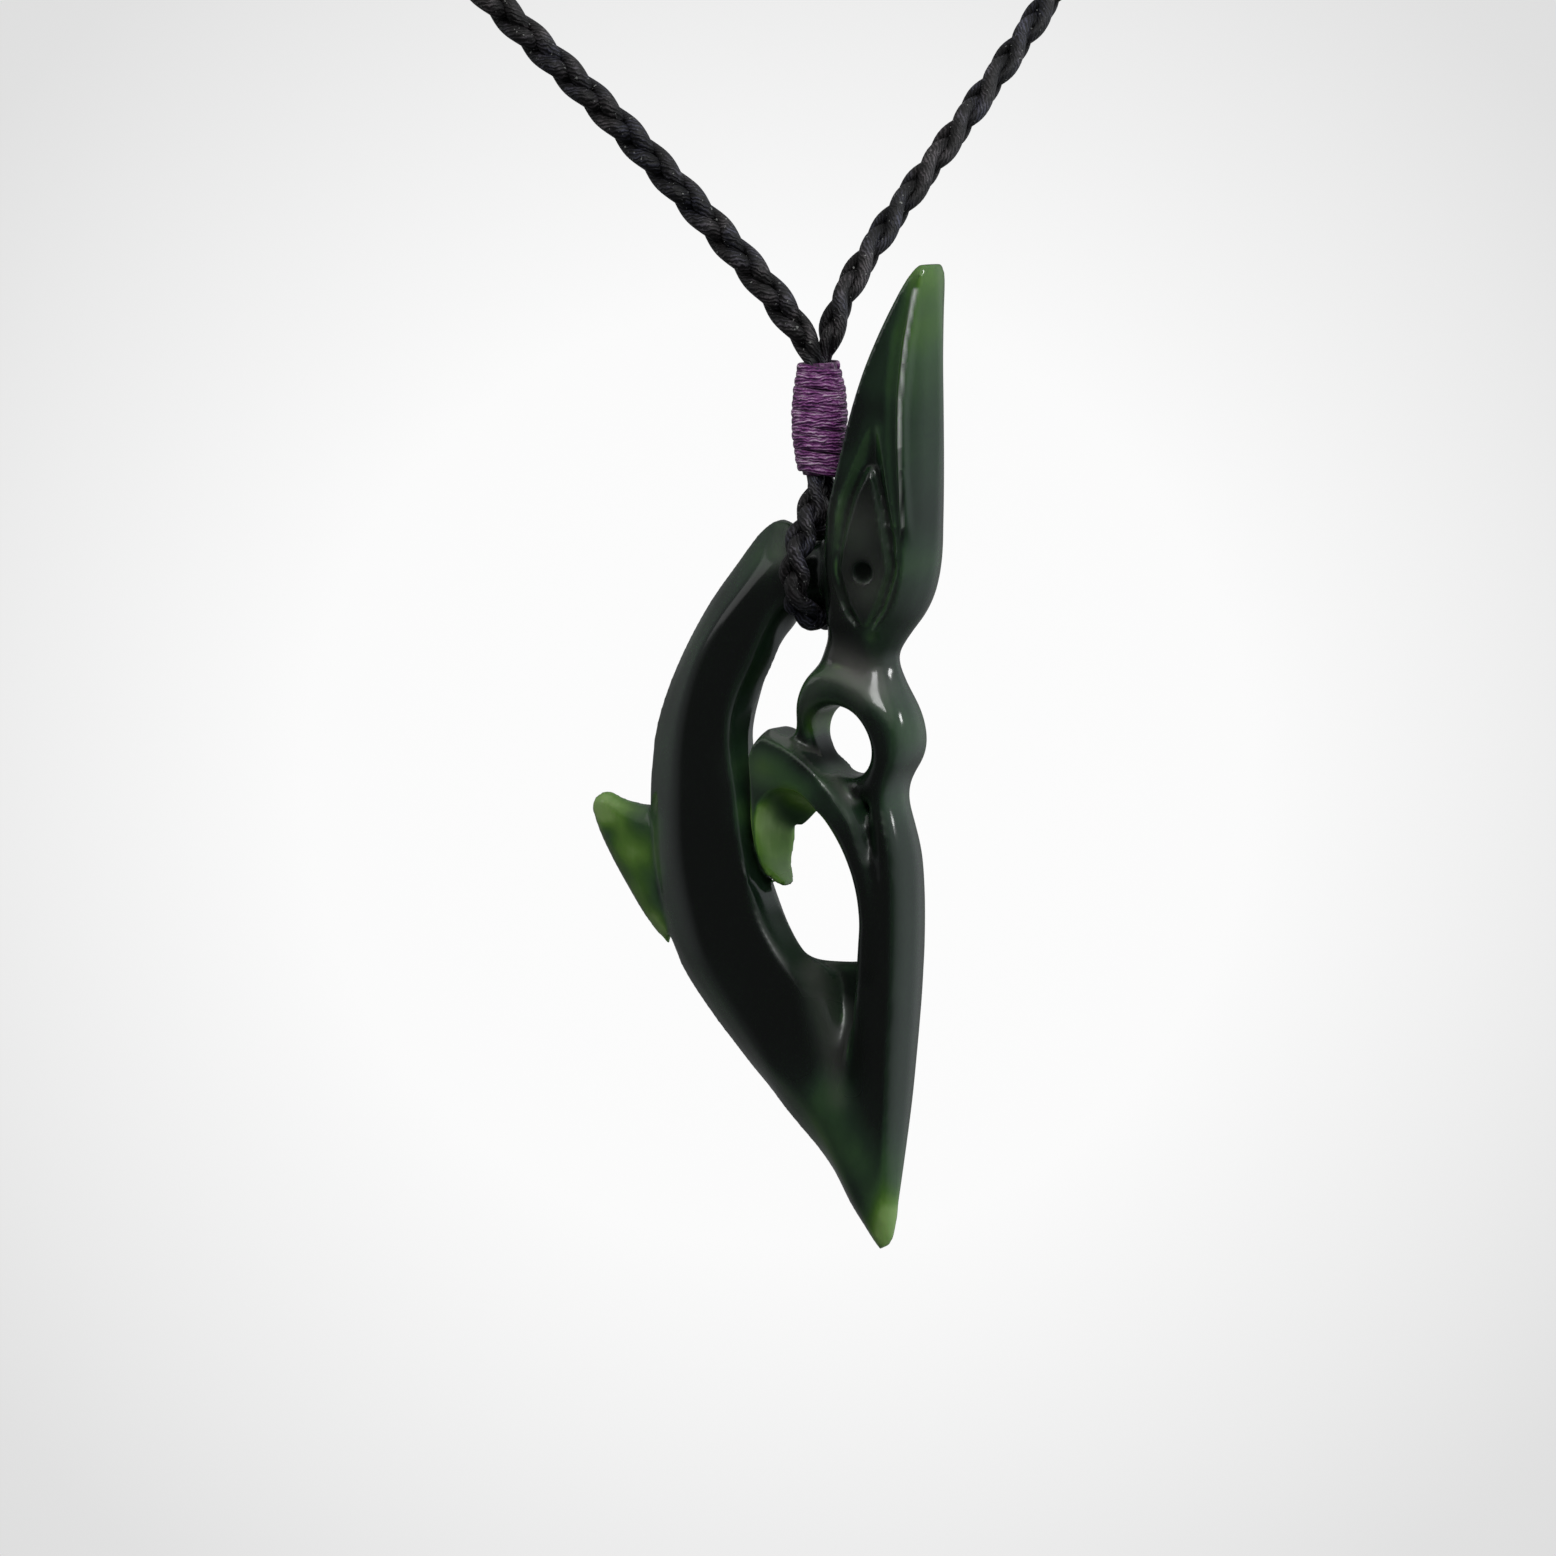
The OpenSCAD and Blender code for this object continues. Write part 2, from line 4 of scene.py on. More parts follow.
import bmesh
import bpy
import numpy as np
from bpy.props import FloatProperty, FloatVectorProperty, IntProperty, PointerProperty
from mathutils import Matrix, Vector
from mathutils.bvhtree import BVHTree
from mathutils.kdtree import KDTree


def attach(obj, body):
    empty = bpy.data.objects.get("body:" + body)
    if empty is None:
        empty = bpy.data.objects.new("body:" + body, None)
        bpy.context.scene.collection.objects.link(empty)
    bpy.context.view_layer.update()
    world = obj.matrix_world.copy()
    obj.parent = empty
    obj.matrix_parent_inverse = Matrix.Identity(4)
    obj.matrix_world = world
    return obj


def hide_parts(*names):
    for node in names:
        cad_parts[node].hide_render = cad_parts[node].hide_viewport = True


bl_info = {
    "name": "Greenstone Pendant",
    "version": (1, 0, 0),
    "blender": (4, 5, 0),
    "location": "View3D > Sidebar > Pendant",
    "description": "Models a carved greenstone pendant, its wound whipping and its plaited cord",
    "category": "Add Mesh",
}

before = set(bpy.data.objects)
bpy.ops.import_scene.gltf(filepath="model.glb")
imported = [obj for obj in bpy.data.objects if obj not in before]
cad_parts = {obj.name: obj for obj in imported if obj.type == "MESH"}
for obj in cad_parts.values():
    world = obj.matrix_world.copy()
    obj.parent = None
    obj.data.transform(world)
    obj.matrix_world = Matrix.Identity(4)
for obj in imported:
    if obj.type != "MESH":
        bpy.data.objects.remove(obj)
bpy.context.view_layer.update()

MM = 0.001

# Places from the part's source, in mm: the whipping's axis and its lower and upper end
WHIP_AXIS = Vector((0, -148.05, 0))
WHIP_LOW = -202.3
WHIP_TOP = -193.5
# The stone's own upright frame has its point at the origin and its face towards -Y; it turns on its cord
STONE_FOOT = Vector((0, -148.05, -261.2))
STONE_TURN = math.radians(-43)

# Right half of the neck cord, in mm: out to the side, back from the whipping, up from its top
LOOP_HALF = [
    (0.95, 0.1, 1.5), (1.8, 0.8, 3.2), (3.6, 2, 6), (7.65, 4.7, 11), (14.3, 9, 18.5), (22.9, 15, 28),
    (32.7, 22, 40), (43, 31, 54), (53, 41, 70), (61, 53, 88), (67, 67, 107), (71, 83, 127),
    (71, 100, 147), (66, 117, 165), (56, 131, 178), (41, 141, 187), (22, 147, 192), (0, 149, 193.5),
]
# How far both legs of the neck cord veer to one side above the whipping, and up to what height
VEER_MOST = -0.5
VEER_H = 15
# Front and back half of the hanging loop, in mm of the stone's frame: forward or back, and up
HANG_HALF = [
    (0.8, 57.9), (1.5, 56.3), (2.8, 54.6), (3.7, 53), (3.9, 51.2), (3.4, 49.8), (2.1, 48.7), (0, 48.35),
]
HANG_BACK = [
    (0.5, 57.9), (-0.6, 56.7), (-1.5, 55.7), (-0.9, 55.1), (1.2, 54.7), (3.1, 53.4), (3.8, 51.3),
    (3.4, 49.9), (2.1, 48.8),
]
HANG_TOP = 58.9
# A cord's two legs in the whipping: half the distance between them and how deep their ends lie, in mm
LEG_OUT = 0.64
ENDS_IN = 4.35
# Length over which a cord swells to its full width outside the whipping, and the share it gains there
SWELL_RUN = 4
SWELL = 0.46
# A direction along none of the cords' starts, from which their sides are carried along them
START_SIDE = np.array([1.0, 0.2, 0.1])
# Points on each stretch of a curve, and points round a strand of cord
CURVE_STEPS = 24
STRAND_SIDES = 12

# The neck cord: rings this far apart, and how far up each leg its plait faces the camera, in mm
NECK_STEP = 0.36
LEG_FACED = 60
# How far the plait of the left and right leg is turned from its flat side, in degrees
LEFT_EDGE_ON = 0
RIGHT_EDGE_ON = 75
# The right leg's plait is drawn out to this pitch, in mm, which comes on between these shares of the cord
RIGHT_PITCH = 14.1
LEFT_SHARE, RIGHT_SHARE = 0.4, 0.75
# The hanging loop: rings this far apart and pitch in mm, and its turn from the flat side in radians
HANG_STEP = 0.2
HANG_PITCH = 8.5
HANG_ROLL = 0.5
# The share of its width that each cord keeps in the whipping, and the angle with which its plait starts
NECK_KEPT, NECK_PHASE = 0.54, 0.4
HANG_KEPT, HANG_PHASE = 0.52, 1.2
# The strands' swing through the plait as a share of that across it, their thickness as a share of their
# width, and the share of their width that they keep where the plait is squeezed
PLAIT_DEPTH = 0.8
STRAND_FLAT = 0.85
STRAND_KEPT = 0.35

# The winding's outline, from its lower end up: share of its height and of its widest radius
WHIP_PROFILE = [(0, 0.72), (0.1, 0.82), (0.28, 0.94), (0.5, 1), (0.7, 0.96), (0.9, 0.82), (1, 0.73)]
WHIP_R = 2.15
# The thread: half its thickness in mm, its points to a turn and its points round
THREAD_HALF = 0.2
TURN_POINTS = 44
THREAD_SIDES = 10
# The heart that closes the gaps between the turns, dark with painted shade as in a furrow: its rings and the
# points round each
HEART_RINGS = 30
HEART_SIDES = 32

# The stone's edges that bend by more than this many degrees are ridges, found as points this many mm apart
RIDGE_ANGLE = 24
RIDGE_STEP = 0.15
# Areas of the stone's face in mm, x from and to, z from and to, where ridges stay crisp
ANY = math.inf
CRISP_AREAS = [
    # The eye and the head, the claw and the fin
    (2.2, ANY, 46.5, ANY), (-4.9, 2.4, 27, 40), (-ANY, -15.4, -ANY, ANY),
]
# Ridges this near to the middle of the thickness are the outline's, and stay crisp too
OUTLINE_HALF = 1.4
# Where the fin's lower edge runs out into the blade
BLEND_AREA = (-14.4, -11.8, 21.2, 24)
# Distance in mm from a crisp ridge at which the rubbing sets in, and the span over which it becomes full,
# and the same from a soft ridge, where it falls away
FLAT_START, FLAT_SPAN = 0.1, 0.7
SOFT_START, SOFT_SPAN = 1.5, -0.8

# Lines carved into the stone's face after the blank, in mm of the stone's own frame, x and z.
# Columns: half width, depth (less than 0 raises a lip), and the points of the line
CARVED_LINES = [
    # The channel along the beak, and the lip on its right
    (0.85, 0.34, [
        (8.9, 72.6), (8.2, 69.6), (7.85, 66.1), (7.9, 62.7), (8.05, 60.1), (8.2, 57.8), (8.35, 55.5),
        (8.5, 53.4),
    ]),
    (0.5, -0.2, [(9.5, 73.4), (8.9, 69.3), (8.55, 65), (8.55, 61), (8.75, 57.5), (8.9, 54.6)]),
]
# Share of a carved line over which it starts and ends
LINE_END = 0.12

# Light through the stone, painted into its colour: its reach in mm, what counts as none and as full, and how
# strongly it shows
LIGHT_REACH = 2.2
LIGHT_NONE, LIGHT_FULL = 0.22, 0.62
LIGHT_SHOWN = 0.6
# The rays that feel for the stone's back: how many, how far in they start in m, and how wide they fan
RAYS = 12
RAY_START = 0.0003
RAY_FAN = 0.25
# The arm and the figure's back stay dark: the painted light fades from this x, in mm, over this span
DARK_START, DARK_SPAN = 4.6, -1.5
# Painted light also lies on the bevels, which aren't flat to the front
BEVEL_START, BEVEL_SPAN, BEVEL_LIGHT = 0.96, -0.14, 0.2
# A hollow is dull only where it lies behind the front face, from this y, in mm, over this span
HOLLOW_START, HOLLOW_SPAN = -3.05, 0.15
# Clouds with their painted sheen, and the painted highlight on the lip, are laid only on what faces the front
# by more than this
FRONT_LEAST = 0.2

# Painted light: places where the stone's colour is made lighter for light that comes through it or lies near
# its face, and darker where the amount is below 0: painted shade in the pupil and the hollow left of the
# hole, and the fin's dark clouding. Columns: x, z, reach and amount
PAINTED_LIGHT_SPOTS = [
    # The fin, with its dark clouding
    (-19.4, 32.8, 1.5, 0.4), (-17.6, 31.8, 1.9, 0.46), (-16.4, 29.2, 1.8, 0.46), (-15.4, 26.6, 1.5, 0.5),
    (-14.6, 29.8, 1.5, 0.4), (-13.6, 31.8, 1.4, 0.3), (-13.3, 28.4, 1.1, 0.25), (-18.3, 30.9, 0.8, -0.3),
    (-14.2, 24.4, 1.2, 0.5),
    # The point
    (5.9, 0.5, 1.5, 0.7), (6, 2, 1.6, 0.6), (6.4, 3.6, 1.8, 0.52), (5.6, 6.4, 2.6, 0.22),
    # The beak
    (9.7, 74.6, 2, 0.5), (9.9, 71, 2.6, 0.34), (7.6, 70, 2.2, 0.14), (6.2, 66.6, 2.2, 0.22),
    (9.6, 66.5, 3, 0.2), (5.6, 62.6, 2, 0.12), (9.6, 61, 2.8, 0.12), (3.8, 60.4, 1.4, 0.14),
    # The eye's panel, with the pupil darkened as painted shade, and the head beside and below it
    (5.6, 47.6, 1.2, 0.2), (4.8, 55, 2.2, 0.22), (6, 50.8, 1.9, 0.22), (5.3, 52.1, 0.75, -0.5),
    (9.4, 53, 2, 0.16), (2.4, 58.5, 1.4, 0.08),
    # The claw's face, the ring and the hole's left wall, with the hollow left of the hole darkened as painted
    # shade
    (-3.8, 37, 2, 0.46), (-1.6, 36.8, 1.9, 0.3), (0.8, 36, 1.8, 0.26), (-4.4, 33.5, 1.3, 0.4),
    (-0.9, 34.2, 1.5, 0.75), (-2.4, 31.6, 1.4, 0.12), (2.8, 33.6, 1.6, 0.18), (-0.6, 41.9, 1.5, 0.18),
    (1, 43.2, 1.9, 0.27), (3.4, 44, 1.8, 0.2), (5.4, 42.6, 1.8, 0.2), (0.8, 38, 1.2, -0.3),
    # The shoulder, the arm, the lower wedge and the blade's upper edge
    (8.6, 40, 2.6, 0.18), (7.2, 34.6, 1.6, 0.14), (2.6, 8.8, 3.4, 0.4), (2.6, 12.8, 1.8, 0.3),
    (3.6, 19, 1.6, 0.16), (-2, 12.6, 2.2, 0.16), (1, 11, 1.8, 0.14), (-8, 18.6, 2.6, 0.16),
    (-13.2, 24.4, 2.2, 0.14), (-13.2, 38, 2.6, 0.1), (-11, 46.6, 2.8, 0.14), (-6, 53, 2.6, 0.14),
    (-2.6, 52.6, 1.8, 0.18),
]
# The same along lines: reach, amount and the points of the line
PAINTED_LIGHT_LINES = [
    # The left and right flank of the eye's groove, and the green line beside the beak's lip
    (0.8, 0.1, [(6.2, 63.2), (4.9, 61), (3.5, 57.8), (2.8, 54.4), (2.9, 52.4)]),
    (0.5, 0.2, [(6.7, 62.8), (7.1, 60.6), (7.6, 57.6), (8.2, 54.6), (8.3, 52.8)]),
    (0.4, 0.2, [(8.2, 52), (7.2, 49.4), (5.6, 47.2)]),
    (0.5, 0.16, [(9, 74), (8.3, 70), (8, 66), (8.1, 61), (8.6, 56)]),
]
# Brown and grey clouds in the stone; on the eye's panel and the neck the grey is a painted sheen, standing
# for a reflection
CLOUD_AND_SHEEN_SPOTS = [
    (2.2, 45.9, 1, 0.5), (3.6, 45.3, 1.2, 0.7), (5, 44.4, 1.2, 0.7), (6.2, 43.2, 0.9, 0.4),
    (4.8, 55.6, 2.2, 0.34), (5.8, 51.2, 2, 0.38), (5.3, 52.1, 0.8, -0.6), (-3.8, 36.8, 1.8, 0.2),
    (-2, 53.6, 1.4, 0.2), (-13, 30, 1, 0.2),
]
# The same along lines: a cloud in the lower wedge, painted sheen along the neck, and a painted highlight
# along the claw's top ridge
CLOUD_AND_SHEEN_LINES = [
    (0.8, 0.3, [(0.4, 22.2), (1.2, 20), (1.8, 17.6), (2.4, 15), (3, 12)]),
    (0.8, 0.26, [(0.2, 41.4), (1.4, 43.6), (3.4, 44.2), (5.2, 42.8)]),
    (0.3, 0.45, [(-4, 39.6), (-2, 39.2), (0.4, 38), (2.4, 36.2), (4, 34.6)]),
]
# The beak's lip, with a painted highlight: a pale line where light catches it
LIP_HIGHLIGHT_LINES = [
    (0.15, 1, [(9.35, 73.2), (8.8, 69.3), (8.45, 65), (8.45, 61.6)]),
    (0.1, 0.4, [(8.45, 61.6), (8.6, 57.5), (8.75, 55.6)]),
]
# Hollows that the polish doesn't reach: x, z, reach and amount
DULL_SPOTS = [
    (4, 58, 2.2, 0.9), (5.6, 53, 3, 1), (4, 49.6, 1.8, 1), (3, 51.4, 1.4, 0.8),
    (-2.4, 31, 2.2, 1), (-1.4, 33.8, 1.8, 1), (0.8, 37.8, 1.6, 1), (0.6, 21.2, 1.8, 0.8),
    (-1.6, 54.6, 1.6, 0.6),
]
DULL_LINES = [
    (1, 0.9, [(-2.6, 25.6), (-1.4, 23.2), (0, 21.6), (2.2, 20.8)]),
    (1.1, 1, [(2.6, 21.4), (4, 18.8), (4.2, 15.6), (4, 13.4)]),
    (0.7, 0.8, [(2.8, 35.6), (4.2, 32.6), (4.8, 29), (5.2, 25), (5.4, 21.6)]),
    (0.6, 0.8, [(5.4, 35.4), (6, 33.4), (6.1, 31)]),
]

# Patterns in the materials, in repeats to the metre, each from a real size
STONE_CLOUDS = 250.0  # clouds 4 mm across
STONE_FIBRES = 900.0  # fibres 1.1 mm wide
STONE_FIBRE_DRAW = 0.22  # and 5 mm long
STONE_SMEARS = 400.0  # smears of polish 2.5 mm across
STONE_WAVES = 330.0  # waves 3 mm apart, left by polishing by hand
CORD_TONES = 700.0  # bundles of filaments 1.4 mm long
CORD_FRAY = 1700.0  # their lay strays every 0.6 mm
CORD_PATCHES = 260.0  # patches of worn wax 4 mm across
CORD_SPECKS = 3600.0  # specks of wax 0.3 mm across, coarser than real so that they show
THREAD_TONES = 2400.0  # filaments 0.4 mm apart, coarser than real so that they show
THREAD_FRAY = 1500.0  # their lay strays every 0.7 mm
# Ribs of filaments round a strand of cord and round the thread
CORD_RIBS = 10
THREAD_RIBS = 9

# The photograph: its side, and where the stone's foot is in it
PHOTO_SIDE = 1556
FOOT_AT = (819, 1248.6)
# Its viewing angle, in degrees, and the width of view at the stone and the camera's distance, in mm
VIEW_TURN = -14
VIEW_RISE = 6
VIEW_FIELD = 118.6
VIEW_AWAY = 600

# The stage, in m: the floor, its sweep up into the wall, and the wall
FLOOR_R = 2.0
FLOOR_SIDES = 96
SWEEP_R = 0.6
SWEEP_STEPS = 8
WALL_H = 3.4
# The painted pool of light on the wall: how far behind the pendant it lies, and its radius
POOL_AWAY = 2.75
POOL_R = 0.48
# Soft light from the pale room. A lobe's columns: azimuth and rise in degrees, the cosines of the angles
# from its middle where it starts and where it is full, and its strength in red, green and blue
ROOM_LIGHT = (0.078, 0.08, 0.082)
ROOM_LOBES = [
    (78, 8, 0.3, 1.0, (0.48, 0.51, 0.53)),
    (0, 48, 0.8, 0.98, (0.55, 0.55, 0.55)),
    (0, 90, 0.3, 1.0, (0.4, 0.4, 0.4)),
    (160, 10, 0.1, 1.0, (0.1, 0.1, 0.1)),
    (-122, 5, 0.8, 1.0, (0.13, 0.14, 0.14)),
    (-72, 44, 0.84, 0.99, (0.15, 0.14, 0.13)),
]
# Lamps: name, azimuth and rise in degrees, side in m and share of the key light's power
LAMPS = [("key", -4, 40, 0.24, 0.45), ("side", 62, 24, 0.14, 0.3), ("left", -100, 25, 0.4, 0.12)]
LAMP_AWAY = 0.9


# Colours

def hex_linear(code):
    """A linear colour with full alpha from an sRGB hex code such as #16301f."""
    parts = [int(code[i:i + 2], 16) / 255 for i in (1, 3, 5)]
    return tuple(c / 12.92 if c <= 0.04045 else ((c + 0.055) / 1.055) ** 2.4 for c in parts) + (1.0,)


# Settings that a user would change

def tint(name, description, code):
    """A colour that a user can change, with an sRGB hex code for its default."""
    return FloatVectorProperty(
        name=name, description=description, default=hex_linear(code)[:3], subtype="COLOR", min=0, max=1)


def length(name, description, default, least, most):
    """A length that a user can change, in metres."""
    return FloatProperty(
        name=name, description=description, default=default, min=least, max=most,
        subtype="DISTANCE", unit="LENGTH")


def rubs(name, description, default):
    """How many times something is rubbed, which a user can change."""
    return IntProperty(name=name, description=description, default=default, min=0, max=300)


class StoneSettings(bpy.types.PropertyGroup):
    grid: length("Surface grid", "Spacing of the points of the polished surface", 0.000212, 0.0001, 0.001)
    polish: rubs("Polish", "Times that the flats and hollows are rubbed smooth", 24)
    blade_polish: rubs("Blade polish", "Times that the blade's ridges are rubbed round", 110)
    ridge_polish: rubs("Ridge polish", "Times that the whole stone is eased at the end", 3)
    deep: tint("Deep colour", "Colour of the thick stone", "#0b110c")
    # The bright colour is painted light, for light that comes through thin stone
    bright: tint("Bright colour", "Colour where most light comes through the stone", "#97bd6c")
    # The cloud colour is also the painted grey sheen on the eye's panel and the neck
    cloud_and_sheen: tint("Cloud colour", "Colour of the clouds in the stone", "#6b6b66")


class CordSettings(bpy.types.PropertyGroup):
    width: length("Width", "Width of the plait", 0.0025, 0.0015, 0.003)
    strand: length("Strand", "Width of one flattened strand", 0.00137, 0.0004, 0.0016)
    pitch: length("Pitch", "Length in which a strand comes back to its place", 0.01035, 0.006, 0.02)
    warm: tint("Warm tint", "Tint of the fibre where it has its brown cast", "#eadfda")
    cool: tint("Cool tint", "Tint of the fibre where it has its bluish cast", "#b2bbe0")
    wax: tint("Wax colour", "Colour of the specks of wax", "#9a9c98")


class ThreadSettings(bpy.types.PropertyGroup):
    turns: FloatProperty(
        name="Turns", description="Turns of thread in the whipping", default=14, min=8, max=24)
    thread: length("Thread", "Width of the flattened thread", 0.0007, 0.0003, 0.001)
    dye: tint("Dye", "Colour of the thread in full light", "#bb6cba")
    # The glint colour is a painted highlight on the palest filaments
    glint: tint("Glint", "Colour of the pale filaments on top", "#fbd8f9")


class StageSettings(bpy.types.PropertyGroup):
    floor_drop: length("Floor", "How far the floor lies below the back of the neck", 1.6, 0.4, 3)
    key_power: FloatProperty(
        name="Key light", description="Power of which each soft lamp gives a share",
        default=2.6, min=0, max=50, unit="POWER")


# Small helpers

def add(tree, kind, inputs=None, **options):
    """Adds one shader node, such as Math for ShaderNodeMath, sets its options, and fills or links its inputs.
    An input that is given a node takes that node's first output."""
    node = tree.nodes.new("ShaderNode" + kind)
    for name, value in options.items():
        setattr(node, name, value)
    for name, value in (inputs or {}).items():
        if isinstance(value, bpy.types.Node):
            value = value.outputs[0]
        if isinstance(value, bpy.types.NodeSocket):
            tree.links.new(value, node.inputs[name])
        else:
            node.inputs[name].default_value = value
    return node


def set_ramp(node, stops):
    """Gives a colour ramp its stops, each a place and an sRGB hex code or a colour of the settings."""
    ramp = node.color_ramp
    while len(ramp.elements) < len(stops):
        ramp.elements.new(0.5)
    for element, (place, colour) in zip(ramp.elements, stops):
        element.position = place
        element.color = hex_linear(colour) if isinstance(colour, str) else (*colour, 1.0)


def new_material(name):
    """A new material with no nodes, and its node tree."""
    material = bpy.data.materials.new(name)
    material.use_nodes = True
    material.node_tree.nodes.clear()
    return material, material.node_tree


def new_object(name, data):
    """A new object in the scene."""
    obj = bpy.data.objects.new(name, data)
    bpy.context.scene.collection.objects.link(obj)
    return obj


def lay_values(mesh, name, values):
    """Lays a number on each vertex, for a material to read."""
    mesh.attributes.new(name, "FLOAT", "POINT").data.foreach_set("value", values)


def select_none():
    """Deselects every object."""
    for other in bpy.context.selected_objects:
        other.select_set(False)


def edit_all(obj, action, **options):
    """Runs one edit mode operator on the whole mesh of an object, and leaves only that object selected."""
    select_none()
    obj.select_set(True)
    bpy.context.view_layer.objects.active = obj
    bpy.ops.object.mode_set(mode="EDIT")
    bpy.ops.mesh.select_all(action="SELECT")
    action(**options)
    bpy.ops.object.mode_set(mode="OBJECT")


def unit(v):
    """Vectors of length 1."""
    return v / np.maximum(np.linalg.norm(v, axis=-1, keepdims=True), 1e-12)


def ramped(values, start, span):
    """How far values have gone from a start over a span, held between 0 and 1."""
    return np.clip((values - start) / span, 0, 1)


def round_angles(sides):
    """Evenly spaced angles of one full turn."""
    return np.linspace(0, 2 * math.pi, sides, endpoint=False)


def smooth_path(points, steps):
    """The same smooth curve through the points as the part's source draws, with finer steps."""
    p = np.array(points, float)
    n = len(p)
    out = []
    for i in range(n - 1):
        a, b, c, d = p[max(i - 1, 0)], p[i], p[i + 1], p[min(i + 2, n - 1)]
        for k in range(steps):
            t = k / steps
            first = (c - a) * t
            second = (2 * a - 5 * b + 4 * c - d) * t * t
            third = (3 * b - a - 3 * c + d) * t ** 3
            out.append(0.5 * (2 * b + first + second + third))
    out.append(p[-1])
    return np.array(out)


def run_along(path):
    """Distance of each point of a path from its start, along the path."""
    return np.concatenate([[0], np.cumsum(np.linalg.norm(np.diff(path, axis=0), axis=1))])


def even_path(path, step):
    """The path with its points evenly spaced, and the distance of each from the start."""
    run = run_along(path)
    s = np.linspace(0, run[-1], max(2, round(run[-1] / step)) + 1)
    return np.stack([np.interp(s, run, path[:, k]) for k in range(3)], 1), s


def carried_sides(path):
    """Tangents of a path and a side direction that is carried along it without twisting."""
    tangent = unit(np.gradient(path, axis=0))
    side = np.zeros_like(path)
    side[0] = unit(START_SIDE - tangent[0] * np.dot(START_SIDE, tangent[0]))
    for i in range(1, len(path)):
        side[i] = unit(side[i - 1] - tangent[i] * np.dot(side[i - 1], tangent[i]))
    return tangent, side


def angle_to(tangent, side, wanted):
    """Angle about the tangent from the carried side to the wanted direction."""
    other = np.cross(tangent, side)
    return math.atan2(np.dot(wanted, other), np.dot(wanted, side))


def rings_round(path, first, second, wide, flat, sides):
    """Rings of points round a path: ellipses in two directions, with two half widths."""
    c, s = np.cos(round_angles(sides))[None, :, None], np.sin(round_angles(sides))[None, :, None]
    wide, flat = np.reshape(wide, (-1, 1, 1)), np.reshape(flat, (-1, 1, 1))
    return path[:, None, :] + (first[:, None, :] * c * wide + second[:, None, :] * s * flat)


def tube_mesh(name, tubes):
    """One mesh of closed tubes. Each tube is its rings of points, the distance along it, for the UV map, and
    how proud each point stands, from 0 in a furrow to 1 on top."""
    verts, faces, uvs = [], [], []
    for rings, along, _ in tubes:
        base = sum(len(v) for v in verts)
        count, sides = rings.shape[:2]
        verts.append(rings.reshape(-1, 3))
        for i in range(count - 1):
            here, ahead = base + i * sides, base + (i + 1) * sides
            low, high = along[i], along[i + 1]
            for j in range(sides):
                k = (j + 1) % sides
                faces.append((here + j, here + k, ahead + k, ahead + j))
                left, right = j / sides, (j + 1) / sides
                uvs += [(left, low), (right, low), (right, high), (left, high)]
        for i, order in ((0, range(sides - 1, -1, -1)), (count - 1, range(sides))):
            faces.append(tuple(base + i * sides + j for j in order))
            uvs += [(0.5, along[i])] * sides
    mesh = bpy.data.meshes.new(name)
    mesh.from_pydata(np.concatenate(verts).tolist(), [], faces)
    layer = mesh.uv_layers.new(name="along")
    layer.data.foreach_set("uv", np.array(uvs, float).ravel())
    lay_values(mesh, "proud", np.concatenate([proud.ravel() for _, _, proud in tubes]))
    mesh.polygons.foreach_set("use_smooth", [True] * len(mesh.polygons))
    mesh.update()
    return new_object(name, mesh)


def plait(name, path, roll, pitch, squeeze, cord, start_phase):
    """Three strands plaited along a path in mm: roll, pitch and squeeze are values at each point."""
    half = cord.width / MM / 2
    strand = cord.strand / MM / 2
    out = half - strand
    over = out * PLAIT_DEPTH
    step = np.linalg.norm(path[1] - path[0])
    tangent, side = carried_sides(path)
    other = np.cross(tangent, side)
    c, s = np.cos(roll)[:, None], np.sin(roll)[:, None]
    across, through = side * c + other * s, other * c - side * s
    turn = start_phase + np.cumsum(2 * math.pi * step / pitch)
    wide = strand * (STRAND_KEPT + (1 - STRAND_KEPT) * squeeze)
    flat = wide * STRAND_FLAT
    tubes = []
    for k in range(3):
        phase = turn + 2 * math.pi * k / 3
        swing = (out * squeeze * np.sin(phase))[:, None]
        dip = (over * squeeze * np.sin(2 * phase))[:, None]
        centre = path + across * swing + through * dip
        t = unit(np.gradient(centre, axis=0))
        a = unit(across - t * np.sum(across * t, 1)[:, None])
        rings = rings_round(centre, a, np.cross(t, a), wide, flat, STRAND_SIDES)
        # How far each point stands out from the cord's middle sets the painted shade in the seams
        proud = np.linalg.norm(rings - path[:, None, :], axis=2) / (half * squeeze[:, None])
        tubes.append((rings * MM, np.arange(len(path)) * step, np.clip(proud, 0, 1)))
    return tube_mesh(name, tubes)


def swollen(rise, kept):
    """Share of its width that a cord has this far out of the whipping, from the share kept inside it."""
    return np.sin(math.pi / 2 * ramped(rise, 0, SWELL_RUN)) * SWELL + kept


# Materials

# The Mix node's colours are its inputs 6 and 7 and its output 2. A Math or Vector Math node that multiplies
# and adds takes input 0 times input 1 plus input 2


